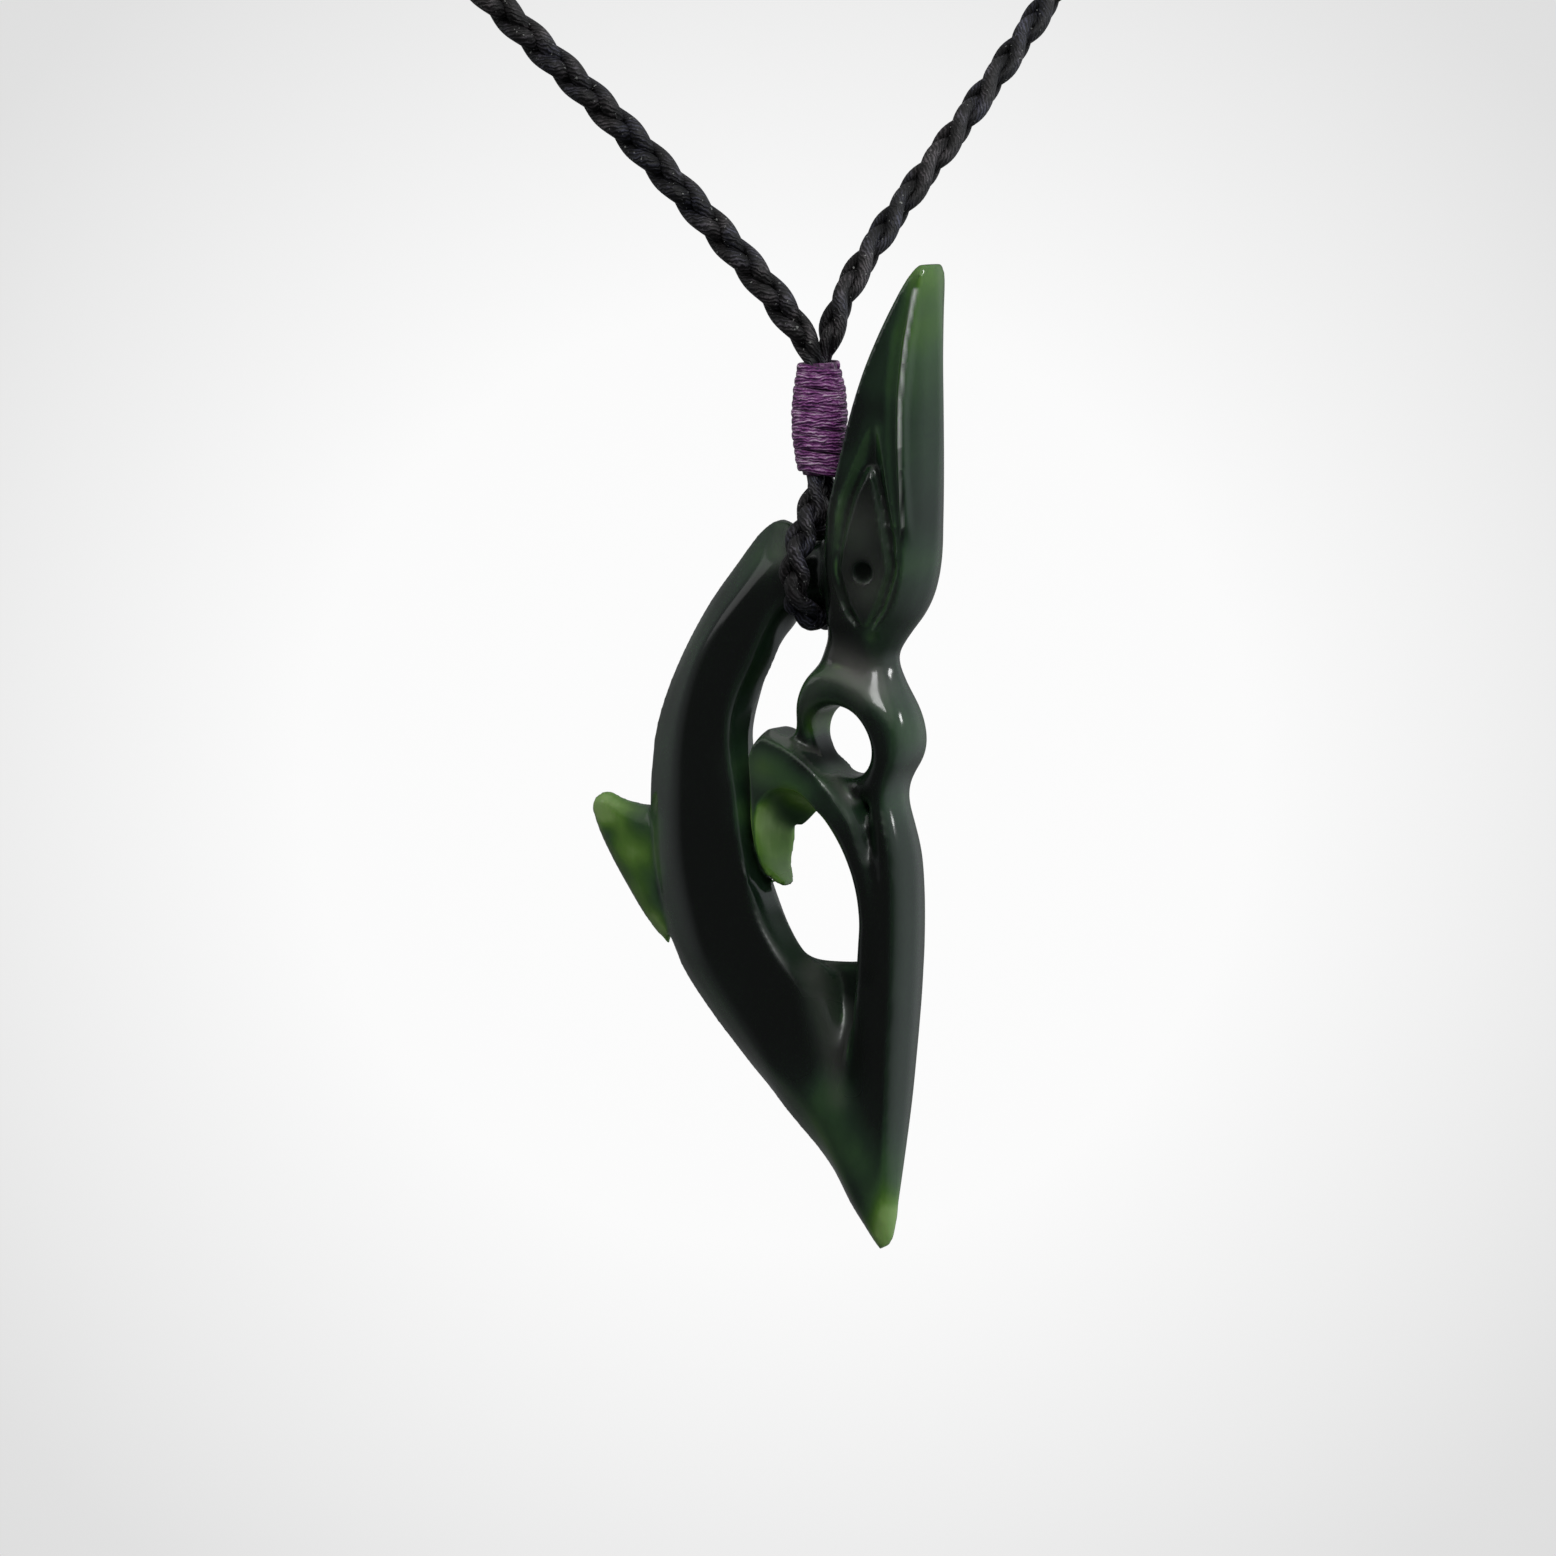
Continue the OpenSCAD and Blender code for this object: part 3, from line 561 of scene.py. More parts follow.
def polished_nephrite(stone):
    """Nephrite jade, carved and polished: near black where thick and bright leaf green where light would come
    through, which is painted light, with faint clouds and fibres in the stone, a painted grey sheen in
    places, a painted highlight along the beak's lip, and a wet, slightly uneven gloss."""
    material, tree = new_material("polished_nephrite")
    place = add(tree, "TexCoord").outputs["Object"]
    # Painted light through the stone, clouds with painted sheen, the painted highlight on the lip in the
    # layer named rubbed, and the dull hollows
    painted_light_share, brown, rubbed, dull = (
        add(tree, "Attribute", attribute_name=name).outputs["Fac"]
        for name in ("painted_light_through", "clouds_and_sheen", "rubbed", "dull"))
    clouds = add(tree, "TexNoise", {
        "Vector": place, "Scale": STONE_CLOUDS, "Detail": 4.0, "Roughness": 0.55, "Distortion": 0.6})
    drawn = add(tree, "Mapping", {
        "Vector": place, "Rotation": (0.0, 0.5, 0.0), "Scale": (1.0, 1.0, STONE_FIBRE_DRAW)})
    fibres = add(tree, "TexNoise", {
        "Vector": drawn, "Scale": STONE_FIBRES, "Detail": 3.0, "Roughness": 0.6, "Distortion": 0.3})
    # Clouds and fibres shift the tone up and down, most where light through the stone is painted in
    sway = add(tree, "Math", {0: clouds, 1: 0.34, 2: -0.17}, operation="MULTIPLY_ADD")
    streak = add(tree, "Math", {0: fibres, 1: 0.16, 2: -0.08}, operation="MULTIPLY_ADD")
    both = add(tree, "Math", {0: sway, 1: streak}, operation="ADD")
    weight = add(tree, "Math", {0: painted_light_share, 1: 1.1}, operation="MULTIPLY")
    tone = add(tree, "Math", {0: both, 1: weight, 2: painted_light_share}, operation="MULTIPLY_ADD", use_clamp=True)
    # The tone runs from the deep colour to the bright one, which is painted light
    ramp = add(tree, "ValToRGB", {"Fac": tone})
    set_ramp(ramp, [
        (0.0, stone.deep), (0.15, "#152119"), (0.32, "#2b432f"), (0.5, "#42643c"), (0.68, "#517b32"),
        (0.85, "#709c42"), (1.0, stone.bright)])
    # Grey is mixed in for the stone's own clouds and, on the eye's panel and the neck, as a painted sheen
    clouds_and_sheen = add(tree, "Mix", {0: brown, 6: ramp, 7: (*stone.cloud_and_sheen, 1.0)}, data_type="RGBA")
    # Near white is mixed in along the beak's lip as a painted highlight, in the layer named rubbed
    colour = add(tree, "Mix", {0: rubbed, 6: clouds_and_sheen.outputs[2], 7: hex_linear("#eef3ee")}, data_type="RGBA")
    # The hollows that the polish doesn't reach are rougher and reflect less
    smear = add(tree, "TexNoise", {"Vector": place, "Scale": STONE_SMEARS, "Detail": 2.0})
    gloss = add(tree, "MapRange", {
        "Value": smear, "From Min": 0.3, "From Max": 0.7, "To Min": 0.09, "To Max": 0.16})
    polish = add(tree, "Math", {0: dull, 1: 0.4, 2: gloss}, operation="MULTIPLY_ADD")
    wet = add(tree, "Math", {0: dull, 1: -0.42, 2: 0.5}, operation="MULTIPLY_ADD")
    waves = add(tree, "TexNoise", {"Vector": place, "Scale": STONE_WAVES, "Detail": 1.0})
    bump = add(tree, "Bump", {"Height": waves, "Strength": 0.25, "Distance": 0.00006})
    shader = add(tree, "BsdfPrincipled", {
        "Base Color": colour.outputs[2], "Roughness": polish, "Normal": bump, "IOR": 1.61,
        "Specular IOR Level": wet, "Subsurface Weight": 0.35, "Subsurface Radius": (0.5, 1.0, 0.35),
        "Subsurface Scale": 0.0012})
    add(tree, "OutputMaterial", {"Surface": shader})
    return material


def filament_ribs(tree, place, slant, stray, count):
    """Filaments laid round a strand at a slant, a little loose: a wave that follows the UV map along it."""
    parts = add(tree, "SeparateXYZ", {"Vector": add(tree, "UVMap", uv_map="along")})
    lay = add(
        tree, "Math", {0: parts.outputs["Y"], 1: slant, 2: parts.outputs["X"]}, operation="MULTIPLY_ADD")
    fray = add(tree, "TexNoise", {"Vector": place, "Scale": stray, "Detail": 2.0})
    loose = add(tree, "Math", {0: fray, 1: 0.2, 2: lay}, operation="MULTIPLY_ADD")
    turns = add(tree, "Math", {0: loose, 1: 2 * math.pi * count}, operation="MULTIPLY")
    return add(tree, "Math", {0: turns}, operation="SINE")


def fibre_tone(tree, ribs, tone, share, stops):
    """Colour of the fibre, by its tone and a share of its ribs."""
    blend = add(tree, "Math", {0: ribs, 1: share, 2: tone}, operation="MULTIPLY_ADD", use_clamp=True)
    ramp = add(tree, "ValToRGB", {"Fac": blend})
    set_ramp(ramp, stops)
    return ramp


def fibre_relief(tree, ribs, tone, share, strength, depth):
    """Relief of the fibre, by its tone and a share of its ribs."""
    height = add(tree, "Math", {0: ribs, 1: share, 2: tone}, operation="MULTIPLY_ADD")
    return add(tree, "Bump", {"Height": height, "Strength": strength, "Distance": depth})


def furrow_shade(tree, start, full, least):
    """Share of the light that reaches the fibre, least in the seams and furrows and full on top."""
    proud = add(tree, "Attribute", attribute_name="proud").outputs["Fac"]
    return add(tree, "MapRange", {"Value": proud, "From Min": start, "From Max": full, "To Min": least})


def waxed_plait(cord):
    """Waxed polyester cord, plaited by hand: dark grey brown with a bluish cast in places and a dull sheen,
    each strand of fine twisted filaments that catch the light in short dashes and specks of wax."""
    material, tree = new_material("waxed_plaited_cord")
    place = add(tree, "TexCoord").outputs["Object"]
    # The filaments go once round the strand in 4 mm
    ribs = filament_ribs(tree, place, 0.25, CORD_FRAY, CORD_RIBS)
    tone = add(tree, "TexNoise", {"Vector": place, "Scale": CORD_TONES, "Detail": 5.0, "Roughness": 0.7})
    fibre = fibre_tone(
        tree, ribs, tone, 0.11, [(0.34, "#080808"), (0.48, "#1d1b1d"), (0.58, "#39373b"), (0.7, "#716e74")])
    patch = add(tree, "TexNoise", {"Vector": place, "Scale": CORD_PATCHES, "Detail": 1.0})
    cast = add(tree, "ValToRGB", {"Fac": patch})
    set_ramp(cast, [(0.4, cord.warm), (0.56, cord.cool)])
    tinted = add(tree, "Mix", {0: 0.8, 6: fibre, 7: cast}, data_type="RGBA", blend_type="MULTIPLY")
    specks = add(tree, "TexNoise", {"Vector": place, "Scale": CORD_SPECKS, "Detail": 1.0})
    wax = add(tree, "MapRange", {"Value": specks, "From Min": 0.71, "From Max": 0.76})
    shade = furrow_shade(tree, 0.5, 0.98, 0.12)
    sheen = add(tree, "Math", {0: shade, 1: 0.5}, operation="MULTIPLY")
    shaded = add(tree, "VectorMath", {0: tinted.outputs[2], "Scale": shade}, operation="SCALE")
    colour = add(tree, "Mix", {0: wax, 6: shaded, 7: (*cord.wax, 1.0)}, data_type="RGBA")
    shader = add(tree, "BsdfPrincipled", {
        "Base Color": colour.outputs[2], "Roughness": 0.46, "IOR": 1.5, "Specular IOR Level": sheen,
        "Normal": fibre_relief(tree, ribs, tone, 0.45, 0.6, 0.00006), "Sheen Weight": 0.02,
        "Sheen Roughness": 0.4})
    add(tree, "OutputMaterial", {"Surface": shader})
    return material


def wound_thread(thread):
    """Waxed lilac thread, wound tight: rough bundles of filaments, the palest of them painted glints, and
    deep purple in the furrows between the turns, darkened by painted shade."""
    material, tree = new_material("wound_lilac_thread")
    place = add(tree, "TexCoord").outputs["Object"]
    # The filaments nearly follow the thread
    ribs = filament_ribs(tree, place, 0.06, THREAD_FRAY, THREAD_RIBS)
    stretched = add(tree, "Mapping", {"Vector": place, "Scale": (0.3, 0.3, 1.0)})
    tone = add(tree, "TexNoise", {
        "Vector": stretched, "Scale": THREAD_TONES, "Detail": 4.0, "Roughness": 0.72})
    # The palest filaments take the glint colour as a painted highlight
    fibre = fibre_tone(
        tree, ribs, tone, 0.1,
        [(0.33, "#42144a"), (0.46, "#883c88"), (0.55, thread.dye), (0.67, thread.glint)])
    shade = furrow_shade(tree, 0.1, 0.9, 0.45)
    shaded = add(tree, "VectorMath", {0: fibre, "Scale": shade}, operation="SCALE")
    shader = add(tree, "BsdfPrincipled", {
        "Base Color": shaded, "Roughness": 0.45, "IOR": 1.5,
        "Normal": fibre_relief(tree, ribs, tone, 0.5, 0.9, 0.00007), "Sheen Weight": 0.15,
        "Sheen Roughness": 0.35})
    add(tree, "OutputMaterial", {"Surface": shader})
    return material


# The stone

def to_stone(points):
    """Points or directions of the row's frame, turned into the stone's own frame."""
    c, s = math.cos(STONE_TURN), math.sin(STONE_TURN)
    x, y, z = points.T
    return np.stack([x * c + y * s, y * c - x * s, z], 1)


def stone_place(points):
    """Points of the row's frame in m, as points of the stone's own frame in mm."""
    return to_stone(points / MM - np.array(STONE_FOOT))


def read_vectors(mesh, name):
    """The place or normal of every vertex, as an array."""
    values = np.empty(len(mesh.vertices) * 3)
    mesh.vertices.foreach_get(name, values)
    return values.reshape(-1, 3)


def within(at, area):
    """Which points of the stone's frame lie in an area of its face."""
    left, right, low, high = area
    return (at[:, 0] > left) & (at[:, 0] < right) & (at[:, 2] > low) & (at[:, 2] < high)


def ridge_points(bm):
    """Points along the edges of a mesh where it bends by more than the ridges' angle."""
    points = []
    for edge in bm.edges:
        if len(edge.link_faces) == 2 and edge.calc_face_angle(0) > math.radians(RIDGE_ANGLE):
            a, b = edge.verts[0].co, edge.verts[1].co
            count = max(1, int((b - a).length / (RIDGE_STEP * MM)))
            points += [a.lerp(b, (k + 0.5) / count) for k in range(count)]
    return points


def weigh(stone, name, points, start, span):
    """A vertex group by the distance in mm from the nearest of the points, from a start over a span."""
    near = KDTree(len(points))
    for i, point in enumerate(points):
        near.insert(point, i)
    near.balance()
    group = stone.vertex_groups.new(name=name)
    for v in stone.data.vertices:
        weight = (near.find(v.co)[2] - start * MM) / (span * MM)
        group.add([v.index], min(1.0, max(0.0, weight)), "REPLACE")


def rub(stone, name, times, group=""):
    """Rubs the stone smooth a number of times, all over or as a vertex group says."""
    smooth = stone.modifiers.new(name, "SMOOTH")
    smooth.factor = 0.5
    smooth.iterations = times
    smooth.vertex_group = group
    bpy.ops.object.modifier_apply(modifier=name)


def line_distance(points, line):
    """Distance of each point in x and z from a line of points, and how far along it the nearest place is."""
    best = np.full(len(points), np.inf)
    where = np.zeros(len(points))
    for i in range(len(line) - 1):
        a, b = np.array(line[i], float), np.array(line[i + 1], float)
        t = np.clip((points - a) @ (b - a) / np.dot(b - a, b - a), 0, 1)
        d = np.linalg.norm(points - a - t[:, None] * (b - a), axis=1)
        nearer = d < best
        best[nearer] = d[nearer]
        where[nearer] = (i + t[nearer]) / (len(line) - 1)
    return best, where


def carve_lines(mesh, lines):
    """Cuts channels and raises lips along lines on the face of the stone."""
    place = read_vectors(mesh, "co")
    for half_width, depth, line in lines:
        normal = read_vectors(mesh, "normal")
        at = stone_place(place)
        faces_front = ramped(to_stone(normal)[:, 1], 0, -0.5) * (at[:, 1] < 0)
        away, share = line_distance(at[:, [0, 2]], line)
        ends = ramped(np.minimum(share, 1 - share), 0, LINE_END)
        cut = depth * MM * np.clip(1 - (away / half_width) ** 2, 0, 1) ** 2 * faces_front * ends
        place = place - normal * cut[:, None]
        mesh.vertices.foreach_set("co", place.ravel())
        mesh.update()


def spread(values, edges, times):
    """Values at the vertices, averaged with their neighbours a number of times."""
    ends = np.concatenate([edges[:, 0], edges[:, 1]])
    others = np.concatenate([edges[:, 1], edges[:, 0]])
    count = np.maximum(np.bincount(ends, minlength=len(values)), 1)
    for _ in range(times):
        values = 0.4 * values + 0.6 * np.bincount(ends, values[others], len(values)) / count
    return values


def painted_light_through(stone, blank):
    """For each vertex, how easily light comes through the stone behind it, from 0 where thick to 1."""
    golden = math.pi * (3 - math.sqrt(5))
    reach = LIGHT_REACH * MM
    total = []
    for v in stone.data.vertices:
        n = v.normal
        side = n.orthogonal().normalized()
        other = n.cross(side)
        start = v.co - n * RAY_START
        light = 0.0
        for k in range(RAYS):
            up = 1 - (k + 0.5) / RAYS * RAY_FAN
            r = math.sqrt(1 - up * up)
            turn = golden * k
            way = -n * up + side * (r * math.cos(turn)) + other * (r * math.sin(turn))
            far = blank.ray_cast(start, way)[3]
            if far is not None:
                light += math.exp(-far / reach)
        total.append(light / RAYS)
    edges = np.empty(len(stone.data.edges) * 2, int)
    stone.data.edges.foreach_get("vertices", edges)
    return spread(np.array(total), edges.reshape(-1, 2), 6)


def laid(at, spots, lines):
    """What soft spots and lines on the stone's face add up to at each point of the stone's frame."""
    face = at[:, [0, 2]]
    total = np.zeros(len(at))
    for x, z, reach, amount in spots:
        total += amount * np.exp(-np.sum((face - (x, z)) ** 2, 1) / reach ** 2)
    for reach, amount, line in lines:
        total += amount * np.exp(-(line_distance(face, line)[0] / reach) ** 2)
    return total


def mark_stone(stone, blank):
    """Lays the amounts that the stone's material reads on its vertices."""
    at = stone_place(read_vectors(stone.data, "co"))
    front = -to_stone(read_vectors(stone.data, "normal"))[:, 1]
    # Painted light: the colour is made lighter where light would come through the stone, by the painted spots
    # and lines, and on the bevels
    light = ramped(painted_light_through(stone, blank), LIGHT_NONE, LIGHT_FULL - LIGHT_NONE)
    light *= LIGHT_SHOWN * ramped(at[:, 0], DARK_START, DARK_SPAN)
    light += laid(at, PAINTED_LIGHT_SPOTS, PAINTED_LIGHT_LINES)
    light += BEVEL_LIGHT * ramped(np.abs(front), BEVEL_START, BEVEL_SPAN)
    hollow = ramped(at[:, 1], HOLLOW_START, HOLLOW_SPAN)
    layers = {
        "painted_light_through": light,
        # Clouds, with a painted grey sheen on the eye's panel and the neck
        "clouds_and_sheen": laid(at, CLOUD_AND_SHEEN_SPOTS, CLOUD_AND_SHEEN_LINES) * (front > FRONT_LEAST),
        # The layer named rubbed holds the painted highlight along the beak's lip
        "rubbed": laid(at, [], LIP_HIGHLIGHT_LINES) * (front > FRONT_LEAST),
        "dull": laid(at, DULL_SPOTS, DULL_LINES) * hollow,
    }
    for name, amounts in layers.items():
        lay_values(stone.data, name, np.clip(amounts, 0, 1))


class PENDANT_OT_stone(bpy.types.Operator):
    """Models the polished greenstone over the carved blank"""
    bl_idname = "pendant.stone"
    bl_label = "Polish the greenstone"

    def execute(self, context):
        settings = context.scene.pendant_stone
        stone = new_object("greenstone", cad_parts["greenstone_carving"].data.copy())
        stone.data.materials.clear()
        edit_all(stone, bpy.ops.mesh.remove_doubles, threshold=0.00001)
        bm = bmesh.new()
        bm.from_mesh(stone.data)
        ridges = ridge_points(bm)
        blank = BVHTree.FromBMesh(bm)
        bm.free()
        grid = stone.modifiers.new("grid", "REMESH")
        grid.mode = "VOXEL"
        grid.voxel_size = settings.grid
        grid.use_smooth_shade = True
        bpy.ops.object.modifier_apply(modifier="grid")

        # The blade's ridges are rubbed round, then the flats and hollows smooth, and last all is eased
        at = stone_place(np.array(ridges))
        crisp = np.any([within(at, area) for area in CRISP_AREAS], axis=0) | (abs(at[:, 1]) <= OUTLINE_HALF)
        blend = within(at, BLEND_AREA)
        kept = [p for p, keep in zip(ridges, crisp & ~blend) if keep]
        soft = [p for p, keep in zip(ridges, crisp) if not keep]
        weigh(stone, "flats", kept, FLAT_START, FLAT_SPAN)
        weigh(stone, "soft_ridges", soft, SOFT_START, SOFT_SPAN)
        rub(stone, "roll", settings.blade_polish, "soft_ridges")
        rub(stone, "rub", settings.polish, "flats")
        rub(stone, "ease", settings.ridge_polish)
        stone.vertex_groups.clear()

        carve_lines(stone.data, CARVED_LINES)
        mark_stone(stone, blank)
        bpy.ops.object.shade_smooth()
        stone.data.materials.append(polished_nephrite(settings))
        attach(stone, "root")
        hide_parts("greenstone_carving")
        return {"FINISHED"}


# The cords and the whipping

class PENDANT_OT_neck_cord(bpy.types.Operator):
    """Plaits the endless neck cord"""
    bl_idname = "pendant.neck_cord"
    bl_label = "Plait the neck cord"

    def execute(self, context):
        cord = context.scene.pendant_cord

        def veer(up):
            return VEER_MOST * math.sin(min(math.pi, math.pi * up / VEER_H))

        def leg(side, up):
            return (side * LEG_OUT * math.sin(-STONE_TURN), side * LEG_OUT * math.cos(STONE_TURN), up)

        left = [(veer(u) - x, y, u) for x, y, u in LOOP_HALF]
        right = [(veer(u) + x, y, u) for x, y, u in reversed(LOOP_HALF[:-1])]
        bend = smooth_path([leg(-1, 0)] + left + right + [leg(1, 0)], CURVE_STEPS)
        path = np.vstack([[leg(-1, -ENDS_IN)], bend, [leg(1, -ENDS_IN)]])
        path, run = even_path(path, NECK_STEP)
        squeeze = swollen(path[:, 2], NECK_KEPT)
        path = path + np.array(WHIP_AXIS) + np.array([0, 0, WHIP_TOP])

        # The plait faces the camera along both legs, turned by their own angles, and the front at the neck
        tangent, side = carried_sides(path)
        camera_way = np.array([math.sin(math.radians(VIEW_TURN)), -math.cos(math.radians(VIEW_TURN)), 0.1])
        neck_way = np.array([0, -1.0, 0])
        total = run[-1]
        stops = [
            (0, camera_way, LEFT_EDGE_ON), (LEG_FACED, camera_way, LEFT_EDGE_ON), (total / 2, neck_way, 0),
            (total - LEG_FACED, camera_way, RIGHT_EDGE_ON), (total, camera_way, RIGHT_EDGE_ON),
        ]
        wanted = []
        for mark, facing, edge_on in stops:
            i = int(np.argmin(abs(run - mark)))
            across = np.cross(facing, tangent[i])
            wanted.append(angle_to(tangent[i], side[i], across) + math.radians(edge_on))
        roll = np.interp(run, [mark for mark, _, _ in stops], np.unwrap(wanted, period=math.pi))
        pitch = np.interp(run, [total * LEFT_SHARE, total * RIGHT_SHARE], [cord.pitch / MM, RIGHT_PITCH])
        piece = plait("neck_cord_plait", path, roll, pitch, squeeze, cord, NECK_PHASE)
        piece.data.materials.append(waxed_plait(cord))
        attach(piece, "root")
        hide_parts("neck_cord")
        return {"FINISHED"}


class PENDANT_OT_hanging_loop(bpy.types.Operator):
    """Plaits the short loop that holds the stone"""
    bl_idname = "pendant.hanging_loop"
    bl_label = "Plait the hanging loop"

    def execute(self, context):
        cord = context.scene.pendant_cord
        front = [(0, -y, z) for y, z in HANG_HALF]
        back = [(0, y, z) for y, z in reversed(HANG_BACK)]
        ends = [(0, -LEG_OUT, HANG_TOP), (0, LEG_OUT, HANG_TOP)]
        bend = smooth_path(ends[:1] + front + back + ends[1:], CURVE_STEPS)
        path = np.vstack([[(0, -LEG_OUT, HANG_TOP + ENDS_IN)], bend, [(0, LEG_OUT, HANG_TOP + ENDS_IN)]])
        path, _ = even_path(path, HANG_STEP)
        squeeze = swollen(HANG_TOP - path[:, 2], HANG_KEPT)
        c, s = math.cos(STONE_TURN), math.sin(STONE_TURN)
        x, y, z = path.T
        path = np.stack([x * c - y * s, x * s + y * c, z], 1) + np.array(STONE_FOOT)
        tangent, side = carried_sides(path)
        roll = np.full(len(path), angle_to(tangent[0], side[0], np.array([c, s, 0.0])) + HANG_ROLL)
        pitch = np.full(len(path), HANG_PITCH)
        piece = plait("hanging_loop_plait", path, roll, pitch, squeeze, cord, HANG_PHASE)
        piece.data.materials.append(bpy.data.materials["waxed_plaited_cord"])
        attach(piece, "root")
        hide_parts("hanging_loop")
        return {"FINISHED"}


class PENDANT_OT_whipping(bpy.types.Operator):
    """Winds the thread whipping over the cord"""
    bl_idname = "pendant.whipping"
    bl_label = "Wind the whipping"

    def execute(self, context):
        thread = context.scene.pendant_thread
        height = WHIP_TOP - WHIP_LOW
        outline = smooth_path([(up, wide, 0) for up, wide in WHIP_PROFILE], 8)
        # The thread spreads a little wider than it is where it lies on the cord
        wide = thread.thread / MM / 2 * 1.12
        t = np.linspace(0, 1, int(thread.turns * TURN_POINTS) + 1)
        angle = 2 * math.pi * thread.turns * t
        # Wound by hand, the turns wander up and down and lie a little deeper or prouder
        wander = 0.12 * np.sin(3.1 * angle / 2 + 0.7) * np.sin(0.83 * angle) + 0.07 * np.sin(0.37 * angle + 2)
        z = WHIP_TOP - wide * 0.9 - (height - wide * 1.8) * t + wander
        depth = THREAD_HALF * (1.05 + 0.25 * np.sin(1.7 * angle + 1) * np.sin(0.61 * angle))
        radius = WHIP_R * np.interp(ramped(z, WHIP_LOW, height), outline[:, 0], outline[:, 1]) - depth
        # The turns lean a little, lower on the right of the photograph
        lean = 0.16 * np.cos(angle - 0.2)
        out = np.stack([np.cos(angle), np.sin(angle), np.zeros_like(angle)], 1)
        path = out * radius[:, None] + np.array(WHIP_AXIS)
        path[:, 2] = z - lean * radius * 0.5
        tangent = unit(np.gradient(path, axis=0))
        above = unit(np.cross(out, tangent))
        rings = rings_round(path, above, np.cross(tangent, above), wide, THREAD_HALF, THREAD_SIDES)
        # The thread's inner half, towards the heart, is darkened by painted shade
        proud = np.maximum(0, np.sin(round_angles(THREAD_SIDES))) ** 0.6
        proud = np.broadcast_to(proud, (len(path), THREAD_SIDES))

        shares = np.linspace(0.02, 0.98, HEART_RINGS)
        heart_r = WHIP_R * np.interp(shares, outline[:, 0], outline[:, 1]) - 2 * THREAD_HALF * 0.9
        axis = np.array([(0, 0, WHIP_LOW + share * height) for share in shares]) + np.array(WHIP_AXIS)
        along_x, along_y = np.eye(3)[:1], np.eye(3)[1:2]
        heart = rings_round(axis, along_x, along_y, heart_r, heart_r, HEART_SIDES)
        # The heart lies all in the furrow, and takes its full painted shade
        furrow = np.zeros((HEART_RINGS, HEART_SIDES))
        piece = tube_mesh("whipping_thread", [
            (rings * MM, run_along(path), proud), (heart * MM, shares * height, furrow)])
        edit_all(piece, bpy.ops.mesh.normals_make_consistent, inside=False)
        piece.data.materials.append(wound_thread(thread))
        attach(piece, "root")
        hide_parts("thread_whipping")
        return {"FINISHED"}


# The stage

def toward(azimuth, rise):
    """Direction from the pendant to a place at an azimuth and rise in degrees."""
    a, e = math.radians(azimuth), math.radians(rise)
    return Vector((math.sin(a) * math.cos(e), -math.cos(a) * math.cos(e), math.sin(e)))


def aim(obj, target, direction, away):
    """Sets a camera or lamp away from a target in a direction, looking at it."""
    obj.location = target + direction * away
    obj.rotation_euler = (-direction).to_track_quat("-Z", "Y").to_euler()


def paper_with_painted_pool(spot):
    """White studio paper that glows on its own: a painted pool of light behind the pendant that fades to pale
    grey.
    """
    material, tree = new_material("paper_painted_pool")
    place = add(tree, "TexCoord").outputs["Object"]
    away = add(tree, "VectorMath", {0: place, 1: tuple(spot)}, operation="DISTANCE")
    share = add(tree, "MapRange", {"Value": away.outputs["Value"], "From Max": POOL_R})
    ramp = add(tree, "ValToRGB", {"Fac": share})
    set_ramp(ramp, [
        (0.0, "#fdfdfd"), (0.42, "#fbfbfb"), (0.6, "#f2f2f2"), (0.75, "#eaeaea"), (0.9, "#e1e1e1"),
        (1.0, "#dedede")])
    glow = add(tree, "Emission", {"Color": ramp})
    add(tree, "OutputMaterial", {"Surface": glow})
    return material


def light_room(scene):
    """Soft light from the walls and ceiling of a pale room, as lobes of a world."""
    world = bpy.data.worlds.new("room")
    world.use_nodes = True
    scene.world = world
    sky = world.node_tree
    sky.nodes.clear()
    way = add(sky, "TexCoord").outputs["Generated"]
    total = ROOM_LIGHT
    for azimuth, rise, start, full, colour in ROOM_LOBES:
        facing = add(sky, "VectorMath", {0: way, 1: tuple(toward(azimuth, rise))}, operation="DOT_PRODUCT")
        lobe = add(sky, "MapRange", {
            "Value": facing.outputs["Value"], "From Min": start, "From Max": full},
            interpolation_type="SMOOTHSTEP")
        total = add(sky, "VectorMath", {0: lobe, 1: colour, 2: total}, operation="MULTIPLY_ADD")
    room = add(sky, "Background", {"Color": total})
    add(sky, "OutputWorld", {"Surface": room})


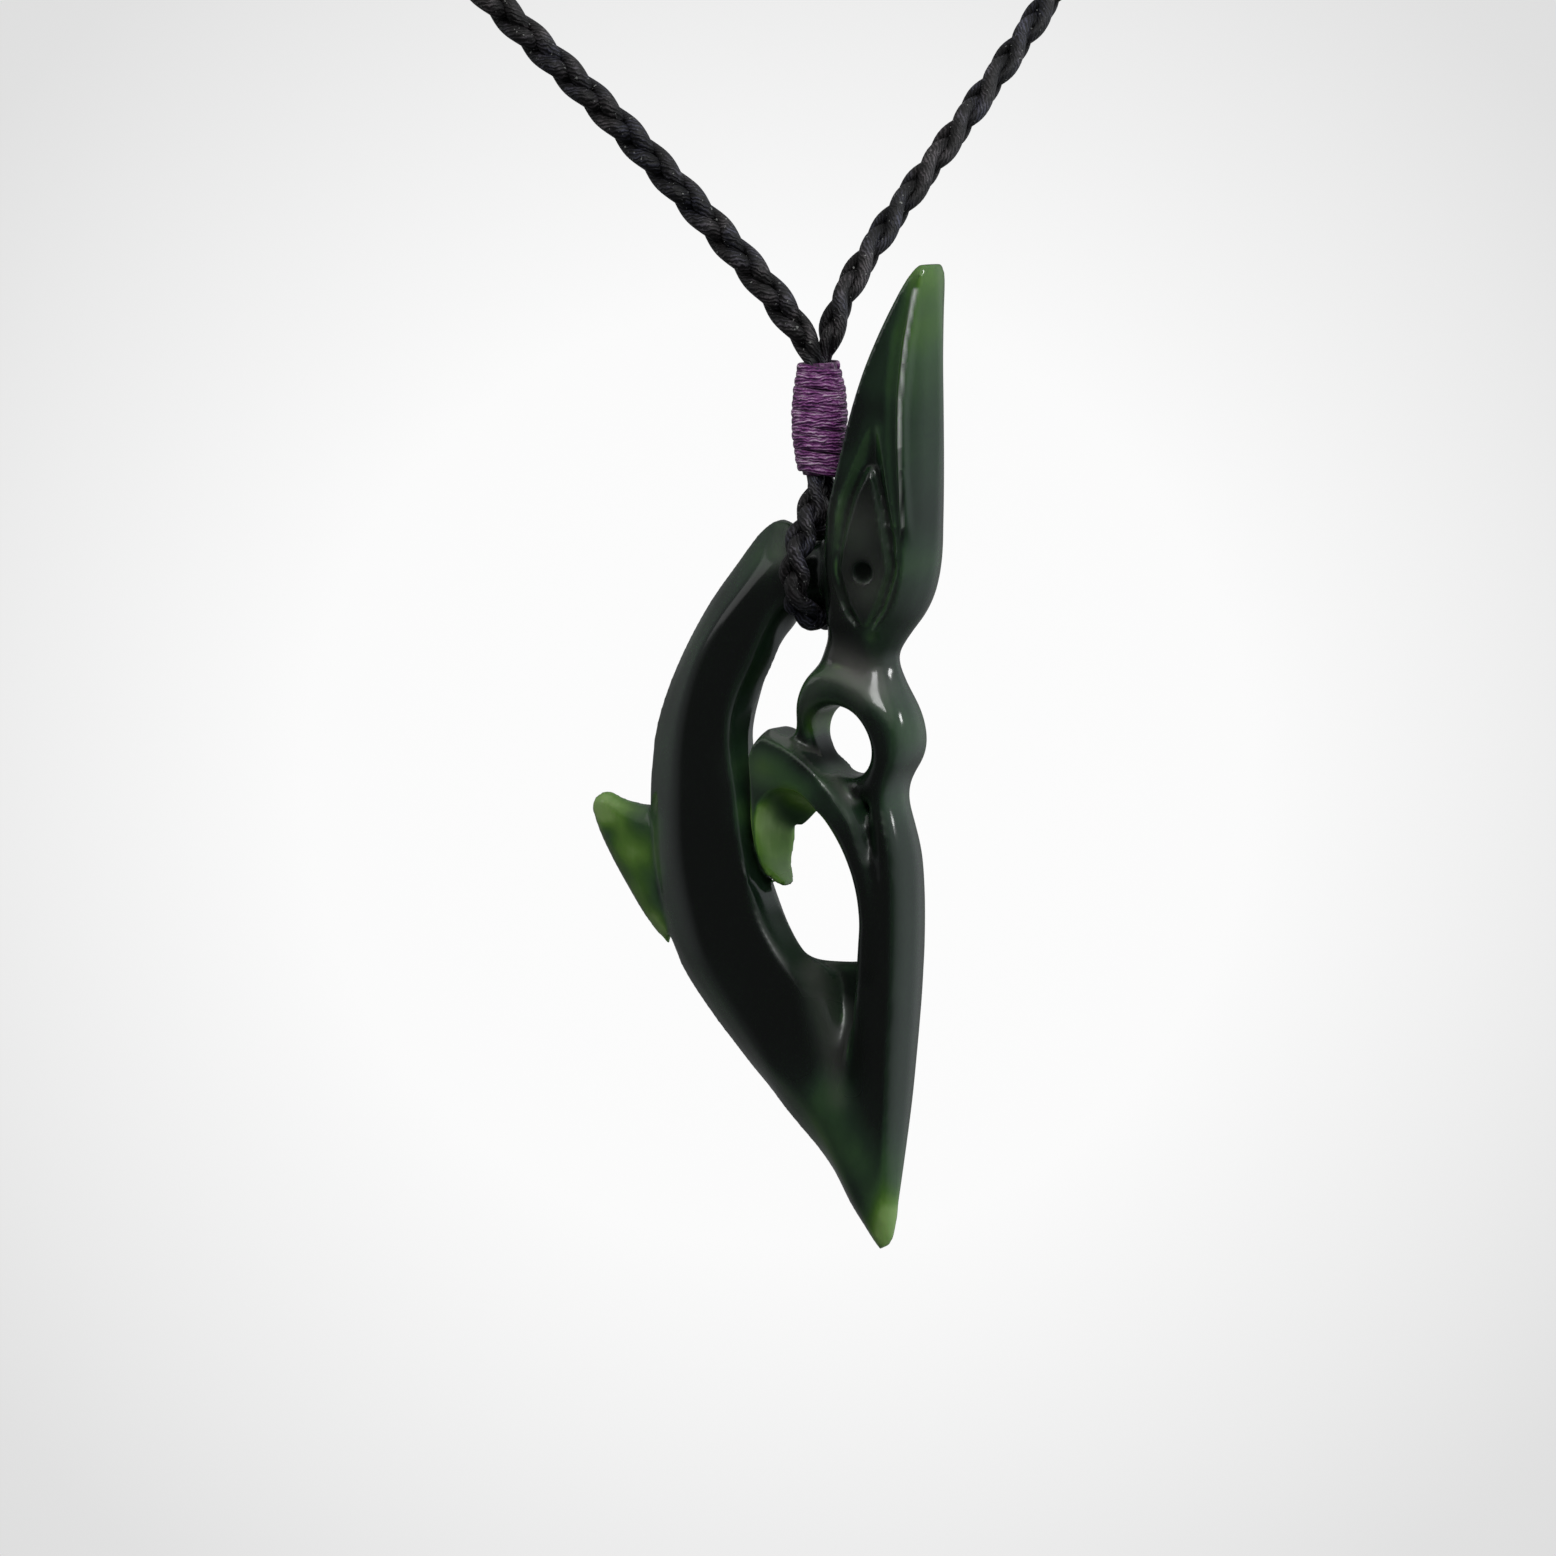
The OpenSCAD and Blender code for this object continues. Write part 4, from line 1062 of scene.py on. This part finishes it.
class PENDANT_OT_stage(bpy.types.Operator):
    """Sets the pale floor and backdrop, the soft light and the camera"""
    bl_idname = "pendant.stage"
    bl_label = "Set the stage"

    def execute(self, context):
        stage = context.scene.pendant_stage
        scene = context.scene
        scene.view_settings.view_transform = "Standard"
        back = toward(VIEW_TURN, VIEW_RISE)
        right = toward(VIEW_TURN + 90, 0)
        up = back.cross(right)
        per_mm = PHOTO_SIDE / VIEW_FIELD
        middle = PHOTO_SIDE / 2
        to_right, to_top = (middle - FOOT_AT[0]) / per_mm, (FOOT_AT[1] - middle) / per_mm
        target = (STONE_FOOT + right * to_right + up * to_top) * MM
        camera = new_object("camera", bpy.data.cameras.new("camera"))
        camera.data.lens = camera.data.sensor_width * VIEW_AWAY / VIEW_FIELD
        aim(camera, target, back, VIEW_AWAY * MM)
        scene.camera = camera

        # A round pale floor that sweeps up into a wall all round
        select_none()
        bpy.ops.mesh.primitive_circle_add(
            vertices=FLOOR_SIDES, radius=FLOOR_R, fill_type="NGON", location=(0, 0, -stage.floor_drop))
        bowl = context.object
        bowl.name = "floor_and_backdrop"
        bpy.ops.object.mode_set(mode="EDIT")
        bpy.ops.mesh.select_all(action="SELECT")
        radius = FLOOR_R
        for k in range(1, SWEEP_STEPS + 1):
            t0, t1 = (k - 1) / SWEEP_STEPS * math.pi / 2, k / SWEEP_STEPS * math.pi / 2
            rise = SWEEP_R * (math.cos(t0) - math.cos(t1))
            grown = FLOOR_R + SWEEP_R * math.sin(t1)
            bpy.ops.mesh.extrude_region_move(TRANSFORM_OT_translate={"value": (0, 0, rise)})
            bpy.ops.transform.resize(value=(grown / radius, grown / radius, 1))
            radius = grown
        bpy.ops.mesh.extrude_region_move(TRANSFORM_OT_translate={"value": (0, 0, WALL_H)})
        bpy.ops.mesh.delete(type="ONLY_FACE")
        bpy.ops.object.mode_set(mode="OBJECT")
        bpy.ops.object.transform_apply(location=True, rotation=True, scale=True)
        bpy.ops.object.shade_smooth()
        # It is only seen, and neither lights the pendant nor keeps the room's light off it
        for ray in ("diffuse", "glossy", "transmission", "shadow", "volume_scatter"):
            setattr(bowl, "visible_" + ray, False)
        bowl.data.materials.append(paper_with_painted_pool(target - back * POOL_AWAY))

        light_room(scene)
        for name, azimuth, rise, side, share in LAMPS:
            lamp = new_object(name, bpy.data.lights.new(name, "AREA"))
            aim(lamp, target, toward(azimuth, rise), LAMP_AWAY)
            lamp.data.shape = "SQUARE"
            lamp.data.size = side
            lamp.data.energy = stage.key_power * share
            lamp.visible_camera = False
        return {"FINISHED"}


class PENDANT_PT_panel(bpy.types.Panel):
    """Lists the pendant's pieces in the sidebar"""
    bl_idname = "PENDANT_PT_panel"
    bl_label = "Greenstone pendant"
    bl_space_type = "VIEW_3D"
    bl_region_type = "UI"
    bl_category = "Pendant"

    def draw(self, context):
        for operator, group in PIECES:
            box = self.layout.box()
            settings = getattr(context.scene, group)
            for name in settings.__annotations__:
                box.prop(settings, name)
            box.operator(operator.bl_idname)


GROUPS = {
    "pendant_stone": StoneSettings,
    "pendant_cord": CordSettings,
    "pendant_thread": ThreadSettings,
    "pendant_stage": StageSettings,
}
PIECES = [
    (PENDANT_OT_stone, "pendant_stone"),
    (PENDANT_OT_neck_cord, "pendant_cord"),
    (PENDANT_OT_hanging_loop, "pendant_cord"),
    (PENDANT_OT_whipping, "pendant_thread"),
    (PENDANT_OT_stage, "pendant_stage"),
]
CLASSES = [*GROUPS.values(), *(operator for operator, _ in PIECES), PENDANT_PT_panel]


def register():
    for cls in CLASSES:
        bpy.utils.register_class(cls)
    for name, cls in GROUPS.items():
        setattr(bpy.types.Scene, name, PointerProperty(type=cls))


def unregister():
    for name in GROUPS:
        delattr(bpy.types.Scene, name)
    for cls in reversed(CLASSES):
        bpy.utils.unregister_class(cls)


def main():
    register()
    bpy.ops.pendant.stone()
    bpy.ops.pendant.neck_cord()
    bpy.ops.pendant.hanging_loop()
    bpy.ops.pendant.whipping()
    bpy.ops.pendant.stage()


if __name__ == "__main__":
    main()
